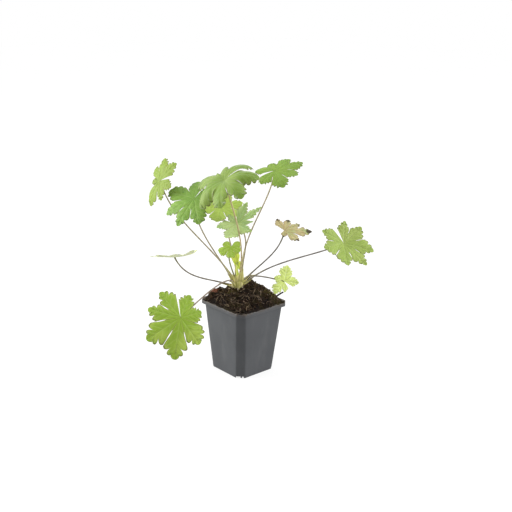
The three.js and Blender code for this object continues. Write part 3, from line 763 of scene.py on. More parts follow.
def blade_sheet(leaf, lobe, side, rng):
    """One half of a lobe: rows run from the midrib to the edge along each side vein. The
    lift over the flat leaf is a groove along the midrib, quilting between the side veins,
    a wave that grows to the edge, a fold along the midrib, a vault that drops with the
    square of the way from it, and the crumple of a noise."""
    length = leaf["reach"] * leaf["lengths"][lobe]
    places, count = tooth_stations(leaf["teeth"])
    edge = lobe_edge(leaf, lobe, side, rng, places, count)
    rib = np.stack([places * length, np.zeros(len(places))], axis=-1)
    flat = rib[:, None] + (edge - rib)[:, None] * ACROSS[None, :, None]
    radius = np.hypot(flat[..., 0], flat[..., 1])
    start = smooth(0, 0.16 * leaf["reach"], radius)
    seam = 1 - (1 - smooth(INNER, INNER + 0.12, places))[:, None] * smooth(0.3, 1, ACROSS)
    span = np.abs(flat[..., 1])
    groove = -0.22 * np.exp(-(span / 1.3) ** 2)
    quilt = 0.07 * np.cos(2 * np.pi * count)[:, None] * -np.sin(np.pi * ACROSS) ** 0.8
    quilt = quilt * smooth(0.35, 0.6, count)[:, None]
    tall = 0.05 * leaf["reach"] / 40
    turned = math.radians(leaf["angles"][lobe]) + side * 0.4
    wave = tall * span * np.sin(radius / leaf["reach"] * 7 + turned * 3)
    place = np.concatenate([flat, np.full(flat.shape[:-1] + (1,), 31.0 * lobe + 9 * side)], -1)
    crumple = leaf.get("crumple", CRUMPLE)
    bumps = crumple * rough_noise(place, 9.0) * smooth(0.25, 1, radius / leaf["reach"])
    fold = 0.05 * span - leaf.get("vault", 0.45) * span ** 2 / length
    return flat, start * (seam * (groove + quilt + wave + fold) + bumps * seam)


def blade(name, leaf, material):
    """A leaf blade as a closed thin shell of all its half lobes, joined along midribs and
    along the rays between lobes as far as the slits' ends, and half as thick at its edge."""
    up = direction(*leaf["faces"])
    ahead = direction(*leaf["points"])
    ahead = unit(ahead - up * (ahead @ up))
    axes = np.stack([ahead, np.cross(up, ahead), up])
    rng = draws("blade " + name)
    skin = Skin()
    places, count = tooth_stations(leaf["teeth"])
    rows, cols = len(places), len(ACROSS)
    size = rows * cols
    faces = grid_faces(rows, cols)
    uv = np.stack(np.broadcast_arrays(count[:, None], ACROSS[None]), axis=-1)
    uv = np.concatenate([uv.reshape(-1, 2)] * 2)
    marks = np.repeat([0.0, 1.0], size)
    thin = THICK / 2 * (1 - 0.5 * smooth(0.9, 1, ACROSS))
    edge_line = np.arange(rows) * cols + cols - 1
    free_from = int(np.searchsorted(places, INNER + 1e-9)) - 1
    for lobe in range(len(leaf["angles"])):
        for side in (1, -1):
            flat, lift = blade_sheet(leaf, lobe, side, rng)
            skins = [bent(leaf, lobe, flat, lift + sign * thin) for sign in (1, -1)]
            world = [points @ axes + np.array(leaf["at"], float) for points in skins]
            both = np.concatenate([w.reshape(-1, 3) for w in world])
            line = edge_line[free_from:] if has_neighbour(leaf, lobe, side) else edge_line
            band = np.stack([line[:-1], line[1:], line[1:] + size, line[:-1] + size], axis=-1)
            quads = np.concatenate([faces[:, ::-1], faces + size, band])
            quads = quads if side == 1 else quads[:, ::-1]
            skin.sheet(both, quads, uv, marks)
    skin.piece("blade_" + name, material, ["leaf_" + name])


# -------------------------------------------------------------------------------- stalks

# the crown's axis, and its radius with the height where it has that radius
CROWN_AT = np.array([-11.0, 0.0, 0.0])
CROWN_PROFILE = np.array([
    [4, 104], [6.2, 110], [7.6, 115], [8, 119], [7.4, 124], [5.8, 128.5], [3.6, 131.5], [0, 133],
], float)
CROWN_FOOT, CROWN_TIP = CROWN_PROFILE[0, 1], CROWN_PROFILE[-1, 1]
# a stalk's radius along its middle, and what it gains at the crown and under the blade
STALK_RADIUS = 1.0
STALK_FOOT = 0.3
STALK_SWELL = 0.25


def crown_seat(bearing, height):
    """Point on the crown's side at a bearing and a height."""
    radius = np.interp(height, CROWN_PROFILE[:, 1], CROWN_PROFILE[:, 0])
    b = math.radians(bearing)
    return CROWN_AT + [radius * math.cos(b), radius * math.sin(b), height]


def stalk_path(leaf, count=60):
    """The stalk's line: a point inside the crown, then a cubic curve from the crown's side
    to the underside of the blade, drawn towards the leaf's rise and bow."""
    seat = crown_seat(*leaf["seat"])
    inward = seat + (CROWN_AT + [0, 0, seat[2]] - seat) * 0.45 - [0, 0, 2.5]
    tip = np.array(leaf["at"], float) - direction(*leaf["faces"]) * 0.25
    path = bezier([seat, leaf["rise"], leaf["bow"], tip], count)
    return np.concatenate([[inward], path])


def stalk(name, leaf, material):
    """A round tapering stalk, swollen where it carries the blade, its radius swelling and
    thinning a little as a sine."""
    path = stalk_path(leaf)
    t = np.linspace(0, 1, len(path))
    radius = STALK_RADIUS + STALK_FOOT - STALK_FOOT * smooth(0, 0.3, t)
    radius = radius + STALK_SWELL * smooth(0.93, 1, t)
    radius = radius * (1 + 0.05 * np.sin(t * 37 + len(name)))
    skin = Skin()
    skin.tube(path, radius, sides=10)
    skin.piece("stem_" + name, material, ["stalk_" + name])


def stalk_material(name, base, middle, top):
    """Colour along the stalk: the UV's v runs from the crown at 0 to the blade at 1."""
    material, tree, shader = new_material(name)
    uv = add(tree, "UVMap", uv_map="Weave").outputs[0]
    along = add(tree, "SeparateXYZ", {0: uv}).outputs[1]
    place = object_place(tree)
    patchy = noise(tree, place, 120.0)
    wander = times(tree, maths(tree, "SUBTRACT", patchy, 0.5), 0.3)
    along = maths(tree, "ADD", along, wander)
    colour = mixed(tree, ramp(tree, along, 0.04, 0.3), linear(base), linear(middle))
    colour = mixed(tree, ramp(tree, along, 0.75, 1.0), colour, linear(top))
    stripes = noise(tree, place, 700.0, 3.0, stretch=(1, 1, 0.15))
    darker = mixed(tree, 1.0, colour, linear("#c9c2b6"), "MULTIPLY")
    colour = mixed(tree, ramp(tree, stripes, 0.45, 0.65), colour, darker)
    set_shader(tree, shader, colour, 0.55, stripes, depth=0.0003, Sheen_Weight=0.15)
    return material


# ------------------------------------------------------------------------ crown and heart

SCALES = 34
# degrees that a sheath wraps to each side of its stalk at its foot
SHEATH_WRAP = 125
# part of a folded leaf's length that is stem
SHOOT_STEM = 0.42


def crown(material, scale_material):
    """The short ribbed stem, a pale sheath wrapped round the foot of every stalk, and
    papery brown scales standing out of the soil round it."""
    rng = draws("crown")
    skin = Skin()
    sides = 48
    heights = np.linspace(CROWN_FOOT, CROWN_TIP, 30)
    turn = np.arange(sides) / sides * 2 * np.pi
    radius = np.interp(heights, CROWN_PROFILE[:, 1], CROWN_PROFILE[:, 0])[:, None]
    ribs = 1 + 0.07 * np.sin(turn * 9 + heights[:, None] * 0.12) + 0.04 * np.sin(turn * 17)
    ring = np.stack([np.cos(turn), np.sin(turn)], axis=-1)
    flat = ring[None] * (radius * ribs)[..., None]
    level = np.broadcast_to(heights[:, None, None], flat.shape[:2] + (1,))
    rings = np.concatenate([flat, level], axis=-1)
    foot = np.broadcast_to([0, 0, CROWN_FOOT], (1, sides, 3))
    tip = np.broadcast_to([0, 0, CROWN_TIP], (1, sides, 3))
    body = np.concatenate([foot, rings, tip]) + CROWN_AT
    skin.sheet(body, grid_faces(len(body), sides, wrap=True), mark=0.35)
    for leaf in LEAVES.values():
        sheath(skin, leaf, rng)
    skin.piece("crown_heart", material, ["crown"])
    papery = Skin()
    for _ in range(SCALES):
        scale(papery, rng)
    papery.piece("crown_scales", scale_material)


def sheath(skin, leaf, rng):
    """A pale pointed sheath cupped round a stalk's foot. Across it goes an arc round the
    stalk, whose half angle falls as 1 - v^1.6 and closes to a point, at a distance that
    falls as (1 - v)^1.5; along it follows the stalk."""
    path = stalk_path(leaf, 80)
    run = np.concatenate([[0], np.cumsum(np.linalg.norm(np.diff(path, axis=0), axis=1))])
    tall = rng.uniform(15, 27)
    rows, cols = 16, 9
    v = np.linspace(0, 1, rows)
    where = v * tall
    line = np.stack([np.interp(where, run, path[:, k]) for k in range(3)], axis=-1)
    ahead = unit(np.gradient(line, axis=0))
    out = line - CROWN_AT - np.array([0, 0, 1]) * line[:, 2:]
    out = unit(out - ahead * np.sum(out * ahead, axis=1, keepdims=True))
    side = np.cross(ahead, out)
    u = np.linspace(-1, 1, cols)
    turn = (math.radians(SHEATH_WRAP) * (1 - v ** 1.6)[:, None] * u)[..., None]
    around = 1.7 + 1.4 * (1 - v) ** 1.5 + 0.6 * smooth(0.8, 1, v)
    ring = out[:, None] * np.cos(turn) + side[:, None] * np.sin(turn)
    grid = line[:, None] + around[:, None, None] * ring
    mark = np.broadcast_to(v[:, None] ** 1.5, (rows, cols))
    skin.shell(grid, np.full((rows, cols), 0.35), mark=mark)


def scale(skin, rng):
    """A dry scale: a narrow pointed strip that leans outwards from the crown's foot, its
    width falling as 1 - v^2.2, curled across by the square of the distance from its middle."""
    bearing = rng.uniform(0, 2 * np.pi)
    v, u = patch(9, 5)
    tall = rng.uniform(5, 11)
    wide = rng.uniform(1.1, 2.4)
    lean = rng.uniform(0.2, 1.3)
    out = np.array([math.cos(bearing), math.sin(bearing), 0])
    side = np.array([-math.sin(bearing), math.cos(bearing), 0])
    away = 6.4 + rng.uniform(0, 2.2) + tall * np.sin(lean) * v ** 1.4
    high = rng.uniform(108.5, 114.5) + tall * np.cos(lean) * v
    twist = rng.uniform(-0.6, 0.6) * v
    across = wide * u * (1 - v ** 2.2) + twist * 2
    grid = CROWN_AT + out * (away - 0.6 * u ** 2 * wide)[..., None]
    grid = grid + side * across[..., None] + np.array([0, 0, 1]) * high[..., None]
    skin.shell(grid, np.full(v.shape, 0.3), mark=rng.uniform(0, 1))


# each folded leaf: its foot on the crown, its tip, half its width and its pleats
SHOOTS = {
    "tall": dict(foot=(-12.4, -0.8, 132.5), tip=(-15.4, -5.0, 168), wide=7.4, pleats=4),
    "short": dict(foot=(-9.4, 1.6, 132.5), tip=(-10, 0, 154), wide=6.0, pleats=3),
}


def shoot(name, place, material):
    """A young leaf still folded like a fan: across it u from -1 to 1 with pleats as a cosine
    of u, widening with v^0.7 up the fan, its upper edge cut into rounded lobes by the same
    cosine, on a short stem that tapers into it."""
    skin = Skin()
    foot = np.array(place["foot"])
    tip = np.array(place["tip"], float)
    ahead = unit(tip - foot)
    across = unit(RIGHTWARD - ahead * (ahead @ RIGHTWARD))
    deep = np.cross(ahead, across)
    length = np.linalg.norm(tip - foot)
    stem = foot + ahead * np.linspace(-0.08, SHOOT_STEM + 0.12, 14)[:, None] * length
    skin.tube(stem, np.linspace(2.5, 0.5, 14), sides=9, mark=0.9)
    v, u = patch(26, 12 * place["pleats"] + 1)
    pleat = np.cos(np.pi * u * place["pleats"])
    top = 1 - 0.1 * (1 - pleat) / 2 - 0.16 * u ** 2
    high = length * (SHOOT_STEM + (1 - SHOOT_STEM) * v * top)
    wide = place["wide"] * (0.18 + 0.82 * v ** 0.7) * (1 - 0.25 * smooth(0.75, 1, v))
    fold = 0.9 * pleat * v ** 0.6 + 1.6 * (1 - u ** 2) * v ** 0.5
    grid = foot + ahead * high[..., None] + across * (wide * u)[..., None]
    grid = grid + deep * (fold - 0.8)[..., None]
    uv = np.stack([u * place["pleats"] / 2 + 2, v * 0.9], axis=-1)
    skin.shell(grid, np.full(v.shape, 0.5), uv)
    skin.piece("folded_leaf_" + name, material, ["shoot_" + name])


# ----------------------------------------------------------------------------------- pot

# the pot's height, how far its lip turns down, its wall, its floor, half its width at the
# foot and under the lip and over the lip with how far the corners are cut, and the groove
# behind the lip
POT_HEIGHT = 100
POT_LIP = 5
POT_WALL = 1.2
POT_FLOOR = 1.6
WALL_FOOT = 33.5
WALL_TOP = 41.8
WALL_CUT = 8.9
RIM = 45
RIM_CUT = 8.3
LIP_GROOVE = 1.8
# drain slots: their two ends along each corner's face, their reach out from the middle and
# their reach in height
DRAINS = [(-6.4, 0.2), (2.0, 4.6)]
DRAIN_IN, DRAIN_OUT = 34, 44
DRAIN_LOW, DRAIN_HIGH = -3, 3.2
# degrees from which an edge of the pot stays sharp, and the height of the soil at the wall
POT_SHARP = 40
SOIL_EDGE = 98.8


def outline(half, cut, softness=1.6):
    """A square of that half width with cut corners, as a closed ring: every straight run is
    ten steps, and each of its eight corners is a parabola over `softness` to each side."""
    points, corners = [], []
    for q in range(4):
        c, s = round(math.cos(q * math.pi / 2)), round(math.sin(q * math.pi / 2))
        for x, y in ((half, half - cut), (half - cut, half)):
            corners.append(np.array([x * c - y * s, x * s + y * c], float))
    t = np.linspace(0, 1, 7)[:, None]
    runs = np.linspace(0, 1, 11)[1:-1, None]
    for i, corner in enumerate(corners):
        before, after = corners[i - 1], corners[(i + 1) % len(corners)]
        start = corner + unit(before - corner) * softness
        end = corner + unit(after - corner) * softness
        points.append((1 - t) ** 2 * start + 2 * (1 - t) * t * corner + t ** 2 * end)
        following = after + unit(corner - after) * softness
        points.append(end + (following - end) * runs)
    return np.concatenate(points)


def inset(half, cut, by):
    """The same outline moved inwards by an even distance."""
    return half - by, cut - (2 - math.sqrt(2)) * by


def wall_at(z):
    """Half width and cut of the tapering outer wall at height z."""
    return WALL_FOOT + (WALL_TOP - WALL_FOOT) * z / (POT_HEIGHT - POT_LIP), WALL_CUT


def pot(material):
    """The pot's section carried round its outlines: foot, outer wall, the open groove under
    the lip, the lip's skirt, its rounded rim, the inner wall and the floor. The whole bows
    in and out by up to 0.22 mm, as a sine of the way round times one of the height."""
    roof = POT_HEIGHT - POT_WALL
    rim = (RIM, RIM_CUT)
    section = [(inset(*wall_at(0), 3.0), 0.0), (inset(*wall_at(0), 0.9), 0.0)]
    section += [(inset(*wall_at(0), 0.25), 0.25), (wall_at(0.9), 0.9)]
    section += [(wall_at(z), z) for z in np.linspace(3, roof - 0.6, 30)]
    section += [(inset(*wall_at(roof), -0.3), roof), (inset(*wall_at(roof), -LIP_GROOVE), roof)]
    under = POT_HEIGHT - POT_LIP
    section += [(inset(*rim, POT_WALL), under + 2.5), (inset(*rim, POT_WALL), under + 0.3)]
    section += [(inset(*rim, POT_WALL - 0.3), under), (inset(*rim, 0.3), under)]
    section += [(rim, under + 0.35)]
    section += [(rim, z) for z in np.linspace(under + 1, POT_HEIGHT - 1.0, 7)]
    section += [(inset(*rim, 0.15), POT_HEIGHT - 0.4), (inset(*rim, 0.5), POT_HEIGHT - 0.1)]
    section += [(inset(*rim, 1.0), POT_HEIGHT)]
    inner = inset(*wall_at(POT_HEIGHT), POT_WALL - 0.6)
    section += [(inner, POT_HEIGHT)]
    inner_heights = (SOIL_EDGE, 80, 60, 40, 20, 4, POT_FLOOR)
    section += [(inset(*wall_at(z), POT_WALL), z) for z in inner_heights]
    rings = []
    for (half, cut), z in section:
        ring = outline(half, cut)
        rings.append(np.concatenate([ring, np.full((len(ring), 1), float(z))], axis=1))
    count = rings[0].shape[0]
    first = np.zeros((1, count, 3))
    last = np.tile([0.0, 0.0, POT_FLOOR], (1, count, 1))
    rings = np.concatenate([first, np.stack(rings), last])
    around = np.arange(count) / count * 2 * np.pi
    warp = 0.22 * np.sin(around * 2 + 0.7) * np.sin(rings[..., 2] / 37)
    rings[..., :2] *= 1 + (warp / 40)[..., None]
    skin = Skin()
    skin.sheet(rings, grid_faces(len(rings), count, wrap=True))
    cut_drains(skin.piece("pot_moulding", material, ["pot"], sharp=POT_SHARP))


def cut_drains(made):
    """Two drain slots with a tooth between them, cut through each corner's foot by boxes."""
    boxes = Skin()
    for q in range(4):
        turn = math.pi / 4 + q * math.pi / 2
        out = np.array([math.cos(turn), math.sin(turn), 0])
        side = np.array([-math.sin(turn), math.cos(turn), 0])
        for low, high in DRAINS:
            ring = [[DRAIN_IN, low], [DRAIN_OUT, low], [DRAIN_OUT, high], [DRAIN_IN, high]]
            ring = np.array(ring) @ np.stack([out, side])
            block = np.stack([ring + [0, 0, DRAIN_LOW], ring + [0, 0, DRAIN_HIGH]])
            ends = block.mean(axis=1, keepdims=True).repeat(4, axis=1)
            rings = np.stack([ends[0], block[0], block[1], ends[1]])
            boxes.sheet(rings, grid_faces(4, 4, wrap=True))
    cutter = boxes.piece("drain_cutter", made.data.materials[0])
    change = made.modifiers.new("drains", "BOOLEAN")
    change.operation = "DIFFERENCE"
    change.object = cutter
    change.solver = "EXACT"
    ready = made.evaluated_get(bpy.context.evaluated_depsgraph_get())
    cut = bpy.data.meshes.new_from_object(ready)
    made.modifiers.clear()
    made.data = cut
    cut.set_sharp_from_angle(angle=math.radians(POT_SHARP))
    bpy.data.objects.remove(cutter)


# the pot's two greys, its pale streaks, the dust near its rim and the earth on its lip
POT_DARK, POT_LIGHT, POT_STREAK = "#484a4d", "#4e5053", "#67686a"
POT_DUST, POT_EARTH = "#5a4a3a", "#4a3b2c"


def pot_material():
    """Recycled black-grey plastic: fine grain, long soft waves from moulding, dust in patches
    near the rim, and earth smeared over the lip's top."""
    material, tree, shader = new_material("pot plastic")
    place = object_place(tree)
    high = add(tree, "SeparateXYZ", {0: place}).outputs[2]
    speck = noise(tree, place, 2600.0, 3.0)
    broad = noise(tree, place, 28.0, 4.0)
    streak = noise(tree, place, 90.0, 4.0, stretch=(1, 1, 0.2))
    colour = mixed(tree, ramp(tree, broad, 0.3, 0.7), linear(POT_DARK), linear(POT_LIGHT))
    colour = mixed(tree, ramp(tree, streak, 0.5, 0.75, 0.0, 0.25), colour, linear(POT_STREAK))
    near_rim = ramp(tree, high, 0.0955, 0.0995)
    dust = times(tree, near_rim, ramp(tree, noise(tree, place, 220.0, 5.0), 0.35, 0.6))
    colour = mixed(tree, times(tree, dust, 0.4), colour, linear(POT_DUST))
    top = ramp(tree, high, 0.0994, 0.1)
    colour = mixed(tree, times(tree, top, 0.6), colour, linear(POT_EARTH))
    roughness = ramp(tree, broad, 0.3, 0.7, 0.42, 0.52)
    roughness = maths(tree, "ADD", roughness, times(tree, dust, 0.3), clamp=True)
    height = weighted(tree, speck, 0.12, noise(tree, place, 26.0, 1.0), 0.5)
    set_shader(tree, shader, colour, roughness, height, depth=0.0006, Specular_IOR_Level=0.5)
    return material


# ---------------------------------------------------------------------------------- soil

# half width of the soil at the wall
SOIL_INSIDE = wall_at(SOIL_EDGE)[0] - POT_WALL
# bells on the soil: place, height and width of broad heaps and of small clods
HEAPS = [(-7, 10.5, 12.4, 27), (-5, 14, 8.2, 7.5), (-34, -28, 6.2, 10)]
CLODS = [(9, 28, 3.4, 3.2), (-4, 15, 1.5, 2.5), (-36, -22, 2.0, 3.0), (2, -14, -2.0, 4.0)]
# how high the soil's middle swells over its edge, before the heaps
SWELL = 4.3
# what lies on the soil: how many crumbs, how many flakes and how far out either may lie,
# by each side and by the sum of both, which keeps them off the cut corners
CRUMBS, CRUMB_SIDE, CRUMB_CORNER = 1500, 41, 72
FLAKES, FLAKE_SIDE, FLAKE_CORNER = 70, 38, 68


def with_bells(level, x, y, bells):
    """The level plus, for each bell, its height times exp(-distance^2 / (2 width^2))."""
    for bx, by, tall, width in bells:
        level = level + tall * np.exp(-((x - bx) ** 2 + (y - by) ** 2) / width ** 2 / 2)
    return level


def soil_level(x, y):
    """Height of the soil: the edge level plus the swell, a ripple of 1 mm and the heaps,
    thinning out to the wall as (1 - x^8)(1 - y^8)."""
    fall = (1 - (x / SOIL_INSIDE) ** 8) * (1 - (y / SOIL_INSIDE) ** 8)
    rise = SWELL + np.sin(x / 4.1 + 1) * np.cos(y / 3.7)
    return SOIL_EDGE + with_bells(rise, x, y, HEAPS) * np.maximum(0, fall)


def soil_top(x, y):
    """The soil level with its lumps: noises of 8.5 to 1.2 mm, the coarse ones ridged, and the
    clods, all lower close to the wall."""
    place = np.stack([x, y, np.zeros_like(x) + 5], axis=-1)
    near = np.clip(1 - np.maximum(np.abs(x), np.abs(y)) / SOIL_INSIDE, 0, 1)
    fade = 0.35 + 0.65 * smooth(0, 0.12, near)
    lumps = 4.2 * (0.5 - np.abs(lattice_noise(place, 8.5)))
    lumps = lumps + 2.3 * (0.45 - np.abs(lattice_noise(place + 40, 4.2)))
    lumps = lumps + 1.1 * lattice_noise(place + 80, 2.2) + 0.6 * lattice_noise(place + 120, 1.2)
    return soil_level(x, y) + fade * with_bells(lumps, x, y, CLODS)


def resampled(ring, steps):
    """Points of a closed flat ring at places counted in the ring's own points."""
    ring = np.concatenate([ring, ring[:1]])
    own = np.arange(len(ring))
    return np.stack([np.interp(steps, own, ring[:, k]) for k in range(2)], axis=-1)


def on_rim(x, y, rim_from):
    """Whether a point lies over the rim, which starts that far from the pot's middle."""
    return np.maximum(np.abs(x), np.abs(y)) > rim_from


def soil(material):
    """The filling: the wall's inner outline from the floor to the edge level, then rings
    shrinking to the middle, each point at the height of the lumpy top."""
    skin = Skin()

    def ring(z):
        """The wall's inner outline at a height, with about three points for each of its own."""
        flat = outline(*inset(*wall_at(z), POT_WALL + 0.3))
        flat = resampled(flat, np.arange(0, len(flat), 0.3))
        return np.concatenate([flat, np.full((len(flat), 1), float(z))], axis=-1)

    low = [ring(z) for z in (POT_FLOOR + 0.3, 30, 60, 97)]
    edge = ring(SOIL_EDGE)
    rings = [np.broadcast_to([0, 0, POT_FLOOR + 0.3], edge.shape), *low]
    for part in np.linspace(1, 0, 96):
        x, y = edge[:, 0] * part, edge[:, 1] * part
        rings.append(np.stack([x, y, soil_top(x, y)], axis=-1))
    rings[-1] = np.broadcast_to(rings[-1].mean(axis=0), edge.shape)
    rings = np.stack(rings)
    skin.sheet(rings, grid_faces(len(rings), rings.shape[1], wrap=True))
    skin.piece("soil_filling", material, ["soil"])


def spill(material):
    """Soil lying on the rim: a strip round the pot from inside the wall to the rim's edge,
    its height a noise that sinks below the plastic where the rim is bare, more so at the
    back than at the front."""
    skin = Skin()
    count = 900
    inner = outline(*inset(*wall_at(POT_HEIGHT), 2.4))
    outer = outline(*inset(RIM, RIM_CUT, 0.25))
    steps = np.linspace(0, len(inner), count, endpoint=False)
    inner, outer = resampled(inner, steps), resampled(outer, steps)
    v = np.linspace(0, 1, 13)[:, None, None]
    flat = inner + (outer - inner) * v
    place = np.concatenate([flat, np.zeros(flat.shape[:2] + (1,))], axis=-1)
    front = flat[..., 0] * FRONTWARD[0] + flat[..., 1] * FRONTWARD[1]
    cover = 0.15 + 0.95 * smooth(-10, 20, front)
    lump = rough_noise(place, 5.0)
    rise = cover * 1.1 + lump * 0.9 - 0.55 + 0.9 * lattice_noise(place + 9, 1.6) * cover
    rise = rise - 1.5 * smooth(0.8, 1, v[..., 0])
    high = POT_HEIGHT - 0.2 + rise
    top = np.concatenate([flat, high[..., None]], axis=-1)
    under = np.full(flat.shape[:2] + (1,), POT_HEIGHT - 1.0)
    low = np.concatenate([flat[::-1], under], axis=-1)
    low[..., 2] = np.minimum(low[..., 2], high[::-1] - 0.1)
    closed = np.concatenate([top, low, top[:1]])
    skin.sheet(closed, grid_faces(len(closed), count, wrap=True)[:, ::-1])
    skin.piece("soil_on_rim", material)


def crumbs(material):
    """Crumbs of peat: many small lumps, each a globe of 6 rings of 6 points squashed and
    roughened, lying on the soil and, smaller, on the rim."""
    rng = draws("crumbs")
    sides = 6
    x, y = rng.uniform(-CRUMB_SIDE, CRUMB_SIDE, (2, CRUMBS))
    keep = (np.abs(x) + np.abs(y)) < CRUMB_CORNER
    x, y = x[keep], y[keep]
    count = len(x)
    outer = on_rim(x, y, 39.6)
    z = np.where(outer, POT_HEIGHT + 0.2, soil_top(x, y))
    size = rng.uniform(0.35, 1.35, count) ** 1.3
    size = np.where(outer, size * 0.6, size)
    centre = np.stack([x, y, z + size * 0.15], axis=-1)[:, None, None]
    size = size[:, None, None, None]
    turn = np.arange(sides) / sides * 2 * np.pi
    high = np.linspace(-np.pi / 2, np.pi / 2, sides)[:, None]
    globe = [np.cos(high) * np.cos(turn), np.cos(high) * np.sin(turn), np.sin(high) + 0 * turn]
    squash = rng.uniform(0.55, 1.3, (count, 1, 1, 3))
    points = np.stack(globe, axis=-1)[None] * squash * size + centre
    shifts = [lattice_noise(points + 50 * k, 1.1) for k in range(3)]
    points += 0.35 * size * np.stack(shifts, axis=-1)
    for end in (0, -1):
        points[:, end] = points[:, end].mean(axis=1, keepdims=True)
    starts = np.arange(count) * sides ** 2
    faces = (grid_faces(sides, sides, wrap=True) + starts[:, None, None]).reshape(-1, 4)
    skin = Skin()
    skin.sheet(points, faces, mark=np.repeat(rng.random(count), sides ** 2))
    skin.piece("soil_crumbs", material)


def fibres(material, name, seed, count, long, thick, low):
    """Peat fibres: thin strands lying on the soil, each a line of eight points that bends
    in a sideways arc and in a hop, with the soil's own height under every point. Lengths
    and radii are drawn from the spans `long` and `thick`, and `low` is the least lift."""
    rng = draws(seed)
    t = np.linspace(-0.5, 0.5, 8)
    skin = Skin()
    for _ in range(count):
        x, y = rng.uniform(-40, 40, 2)
        turn = rng.uniform(0, 2 * np.pi)
        length = rng.uniform(*long)
        bend = rng.uniform(-0.5, 0.5) * length
        px = x + np.cos(turn) * t * length - np.sin(turn) * bend * t ** 2
        py = y + np.sin(turn) * t * length + np.cos(turn) * bend * t ** 2
        px, py = np.clip(px, -43.5, 43.5), np.clip(py, -43.5, 43.5)
        px = np.where(np.abs(px) + np.abs(py) > 73, px * 0.9, px)
        level = np.where(on_rim(px, py, 40), POT_HEIGHT + 0.3, soil_top(px, py))
        hop = rng.uniform(0.0, 1.6) * (1 - (2 * t) ** 2) + low
        level = np.convolve(np.pad(level, 1, mode="edge"), [0.25, 0.5, 0.25], mode="valid")
        path = np.stack([px, py, level + hop], axis=-1)
        radius = rng.uniform(*thick) * (1 - 0.6 * np.abs(2 * t) ** 3)
        skin.tube(path, radius, sides=4, mark=rng.random())
    skin.piece(name, material)


def flakes(material):
    """Chips of bark and leaf litter: small bent plates lying on the soil at all angles."""
    rng = draws("flakes")
    skin = Skin()
    for _ in range(FLAKES):
        x, y = rng.uniform(-FLAKE_SIDE, FLAKE_SIDE, 2)
        if abs(x) + abs(y) > FLAKE_CORNER:
            continue
        flake(skin, rng, x, y, rng.uniform(2.0, 9.0), rng.uniform(0.8, 2.0))
    skin.piece("soil_flakes", material)


def flake(skin, rng, x, y, long, wide):
    """One plate of 5 by 4 points with a ragged edge, bowed along its length, tilted."""
    v, u = patch(5, 4, low=-1)
    ragged = 1 + 0.25 * rng.uniform(-1, 1, v.shape)
    bow = 0.15 * long * (1 - v * v)
    plate = np.stack([long / 2 * v * ragged, wide / 2 * u * ragged, bow], axis=-1)
    turn = Matrix.Rotation(rng.uniform(0, 6.283), 3, "Z")
    tilt = Matrix.Rotation(rng.uniform(-0.6, 0.6), 3, "X")
    tip = Matrix.Rotation(rng.uniform(-0.5, 0.5), 3, "Y")
    spin = np.array(turn @ tilt @ tip)
    level = float(soil_top(np.array([x]), np.array([y]))[0])
    grid = plate @ spin.T + [x, y, level + 0.35]
    skin.shell(grid, np.full(v.shape, rng.uniform(0.25, 0.6)), mark=rng.random())


# the earth's fibre specks, what higher marks turn it towards, and what it is multiplied by as
# painted shade over its front half
SPECK = "#8f714f"
MARKED = "#715337"
PAINTED_SHADE = "#a39791"


def earth_material(name, dark, light, moss, moss_amount):
    """Peaty soil: dark crumbs with lighter fibre specks and patches of moss, and painted shade
    that darkens its front half."""
    material, tree, shader = new_material(name)
    place = object_place(tree)
    coarse = noise(tree, place, 260.0, 6.0, 0.7)
    fine = noise(tree, place, 1100.0, 5.0, 0.7)
    colour = mixed(tree, ramp(tree, coarse, 0.38, 0.7), linear(dark), linear(light))
    colour = mixed(tree, ramp(tree, fine, 0.58, 0.8, 0.0, 0.6), colour, linear(SPECK))
    colour = mixed(tree, times(tree, mark_of(tree), 0.45), colour, linear(MARKED))
    spot = noise(tree, place, 60.0, 3.0)
    mossy = times(tree, ramp(tree, spot, 0.45, 0.65), moss_amount)
    colour = mixed(tree, mossy, colour, linear(moss))
    # painted shade: the earth's colour is darkened over its front half, the side facing the dim
    # part of the light
    shade_part = ramp(tree, part_along(tree, place, FRONT, 0), -0.008, 0.018)
    shaded_colour = mixed(tree, 1.0, colour, linear(PAINTED_SHADE), "MULTIPLY")
    colour = mixed(tree, shade_part, colour, shaded_colour)
    height = weighted(tree, coarse, 0.7, fine, 0.4)
    set_shader(tree, shader, colour, 0.92, height, depth=0.0012, Specular_IOR_Level=0.2)
    return material


# ------------------------------------------------------------------------- twig and chip

TWIG_ENDS = np.array([[17, 36, 97.5], [28, 49, 108.5]])
CHIP_AT = (-28, -29)


def twig(material):
    """A crooked dark twig: a straight line bent by sines, with a knot as a bell of the
    radius and a broken side branch."""
    rng = draws("twig")
    start, end = TWIG_ENDS
    t = np.linspace(0, 1, 26)
    path = start + (end - start) * t[:, None]
    crooks = np.stack([np.sin(t * 7), np.sin(t * 9 + 1), np.sin(t * 6 + 2)], axis=-1)
    path = path + 0.45 * crooks * np.sin(np.pi * t)[:, None]
    radius = 1.45 - 0.4 * t + 0.25 * np.exp(-((t - 0.45) / 0.04) ** 2)
    radius = radius + 0.06 * rng.uniform(-1, 1, len(t))
    skin = Skin()
    skin.tube(path, radius, sides=9)
    branch = path[12] + np.linspace(0, 1, 6)[:, None] * np.array([1.6, -1.2, 1.8])
    skin.tube(branch, np.linspace(0.5, 0.25, 6), sides=6)
    skin.piece("dark_twig", material, ["twig"])


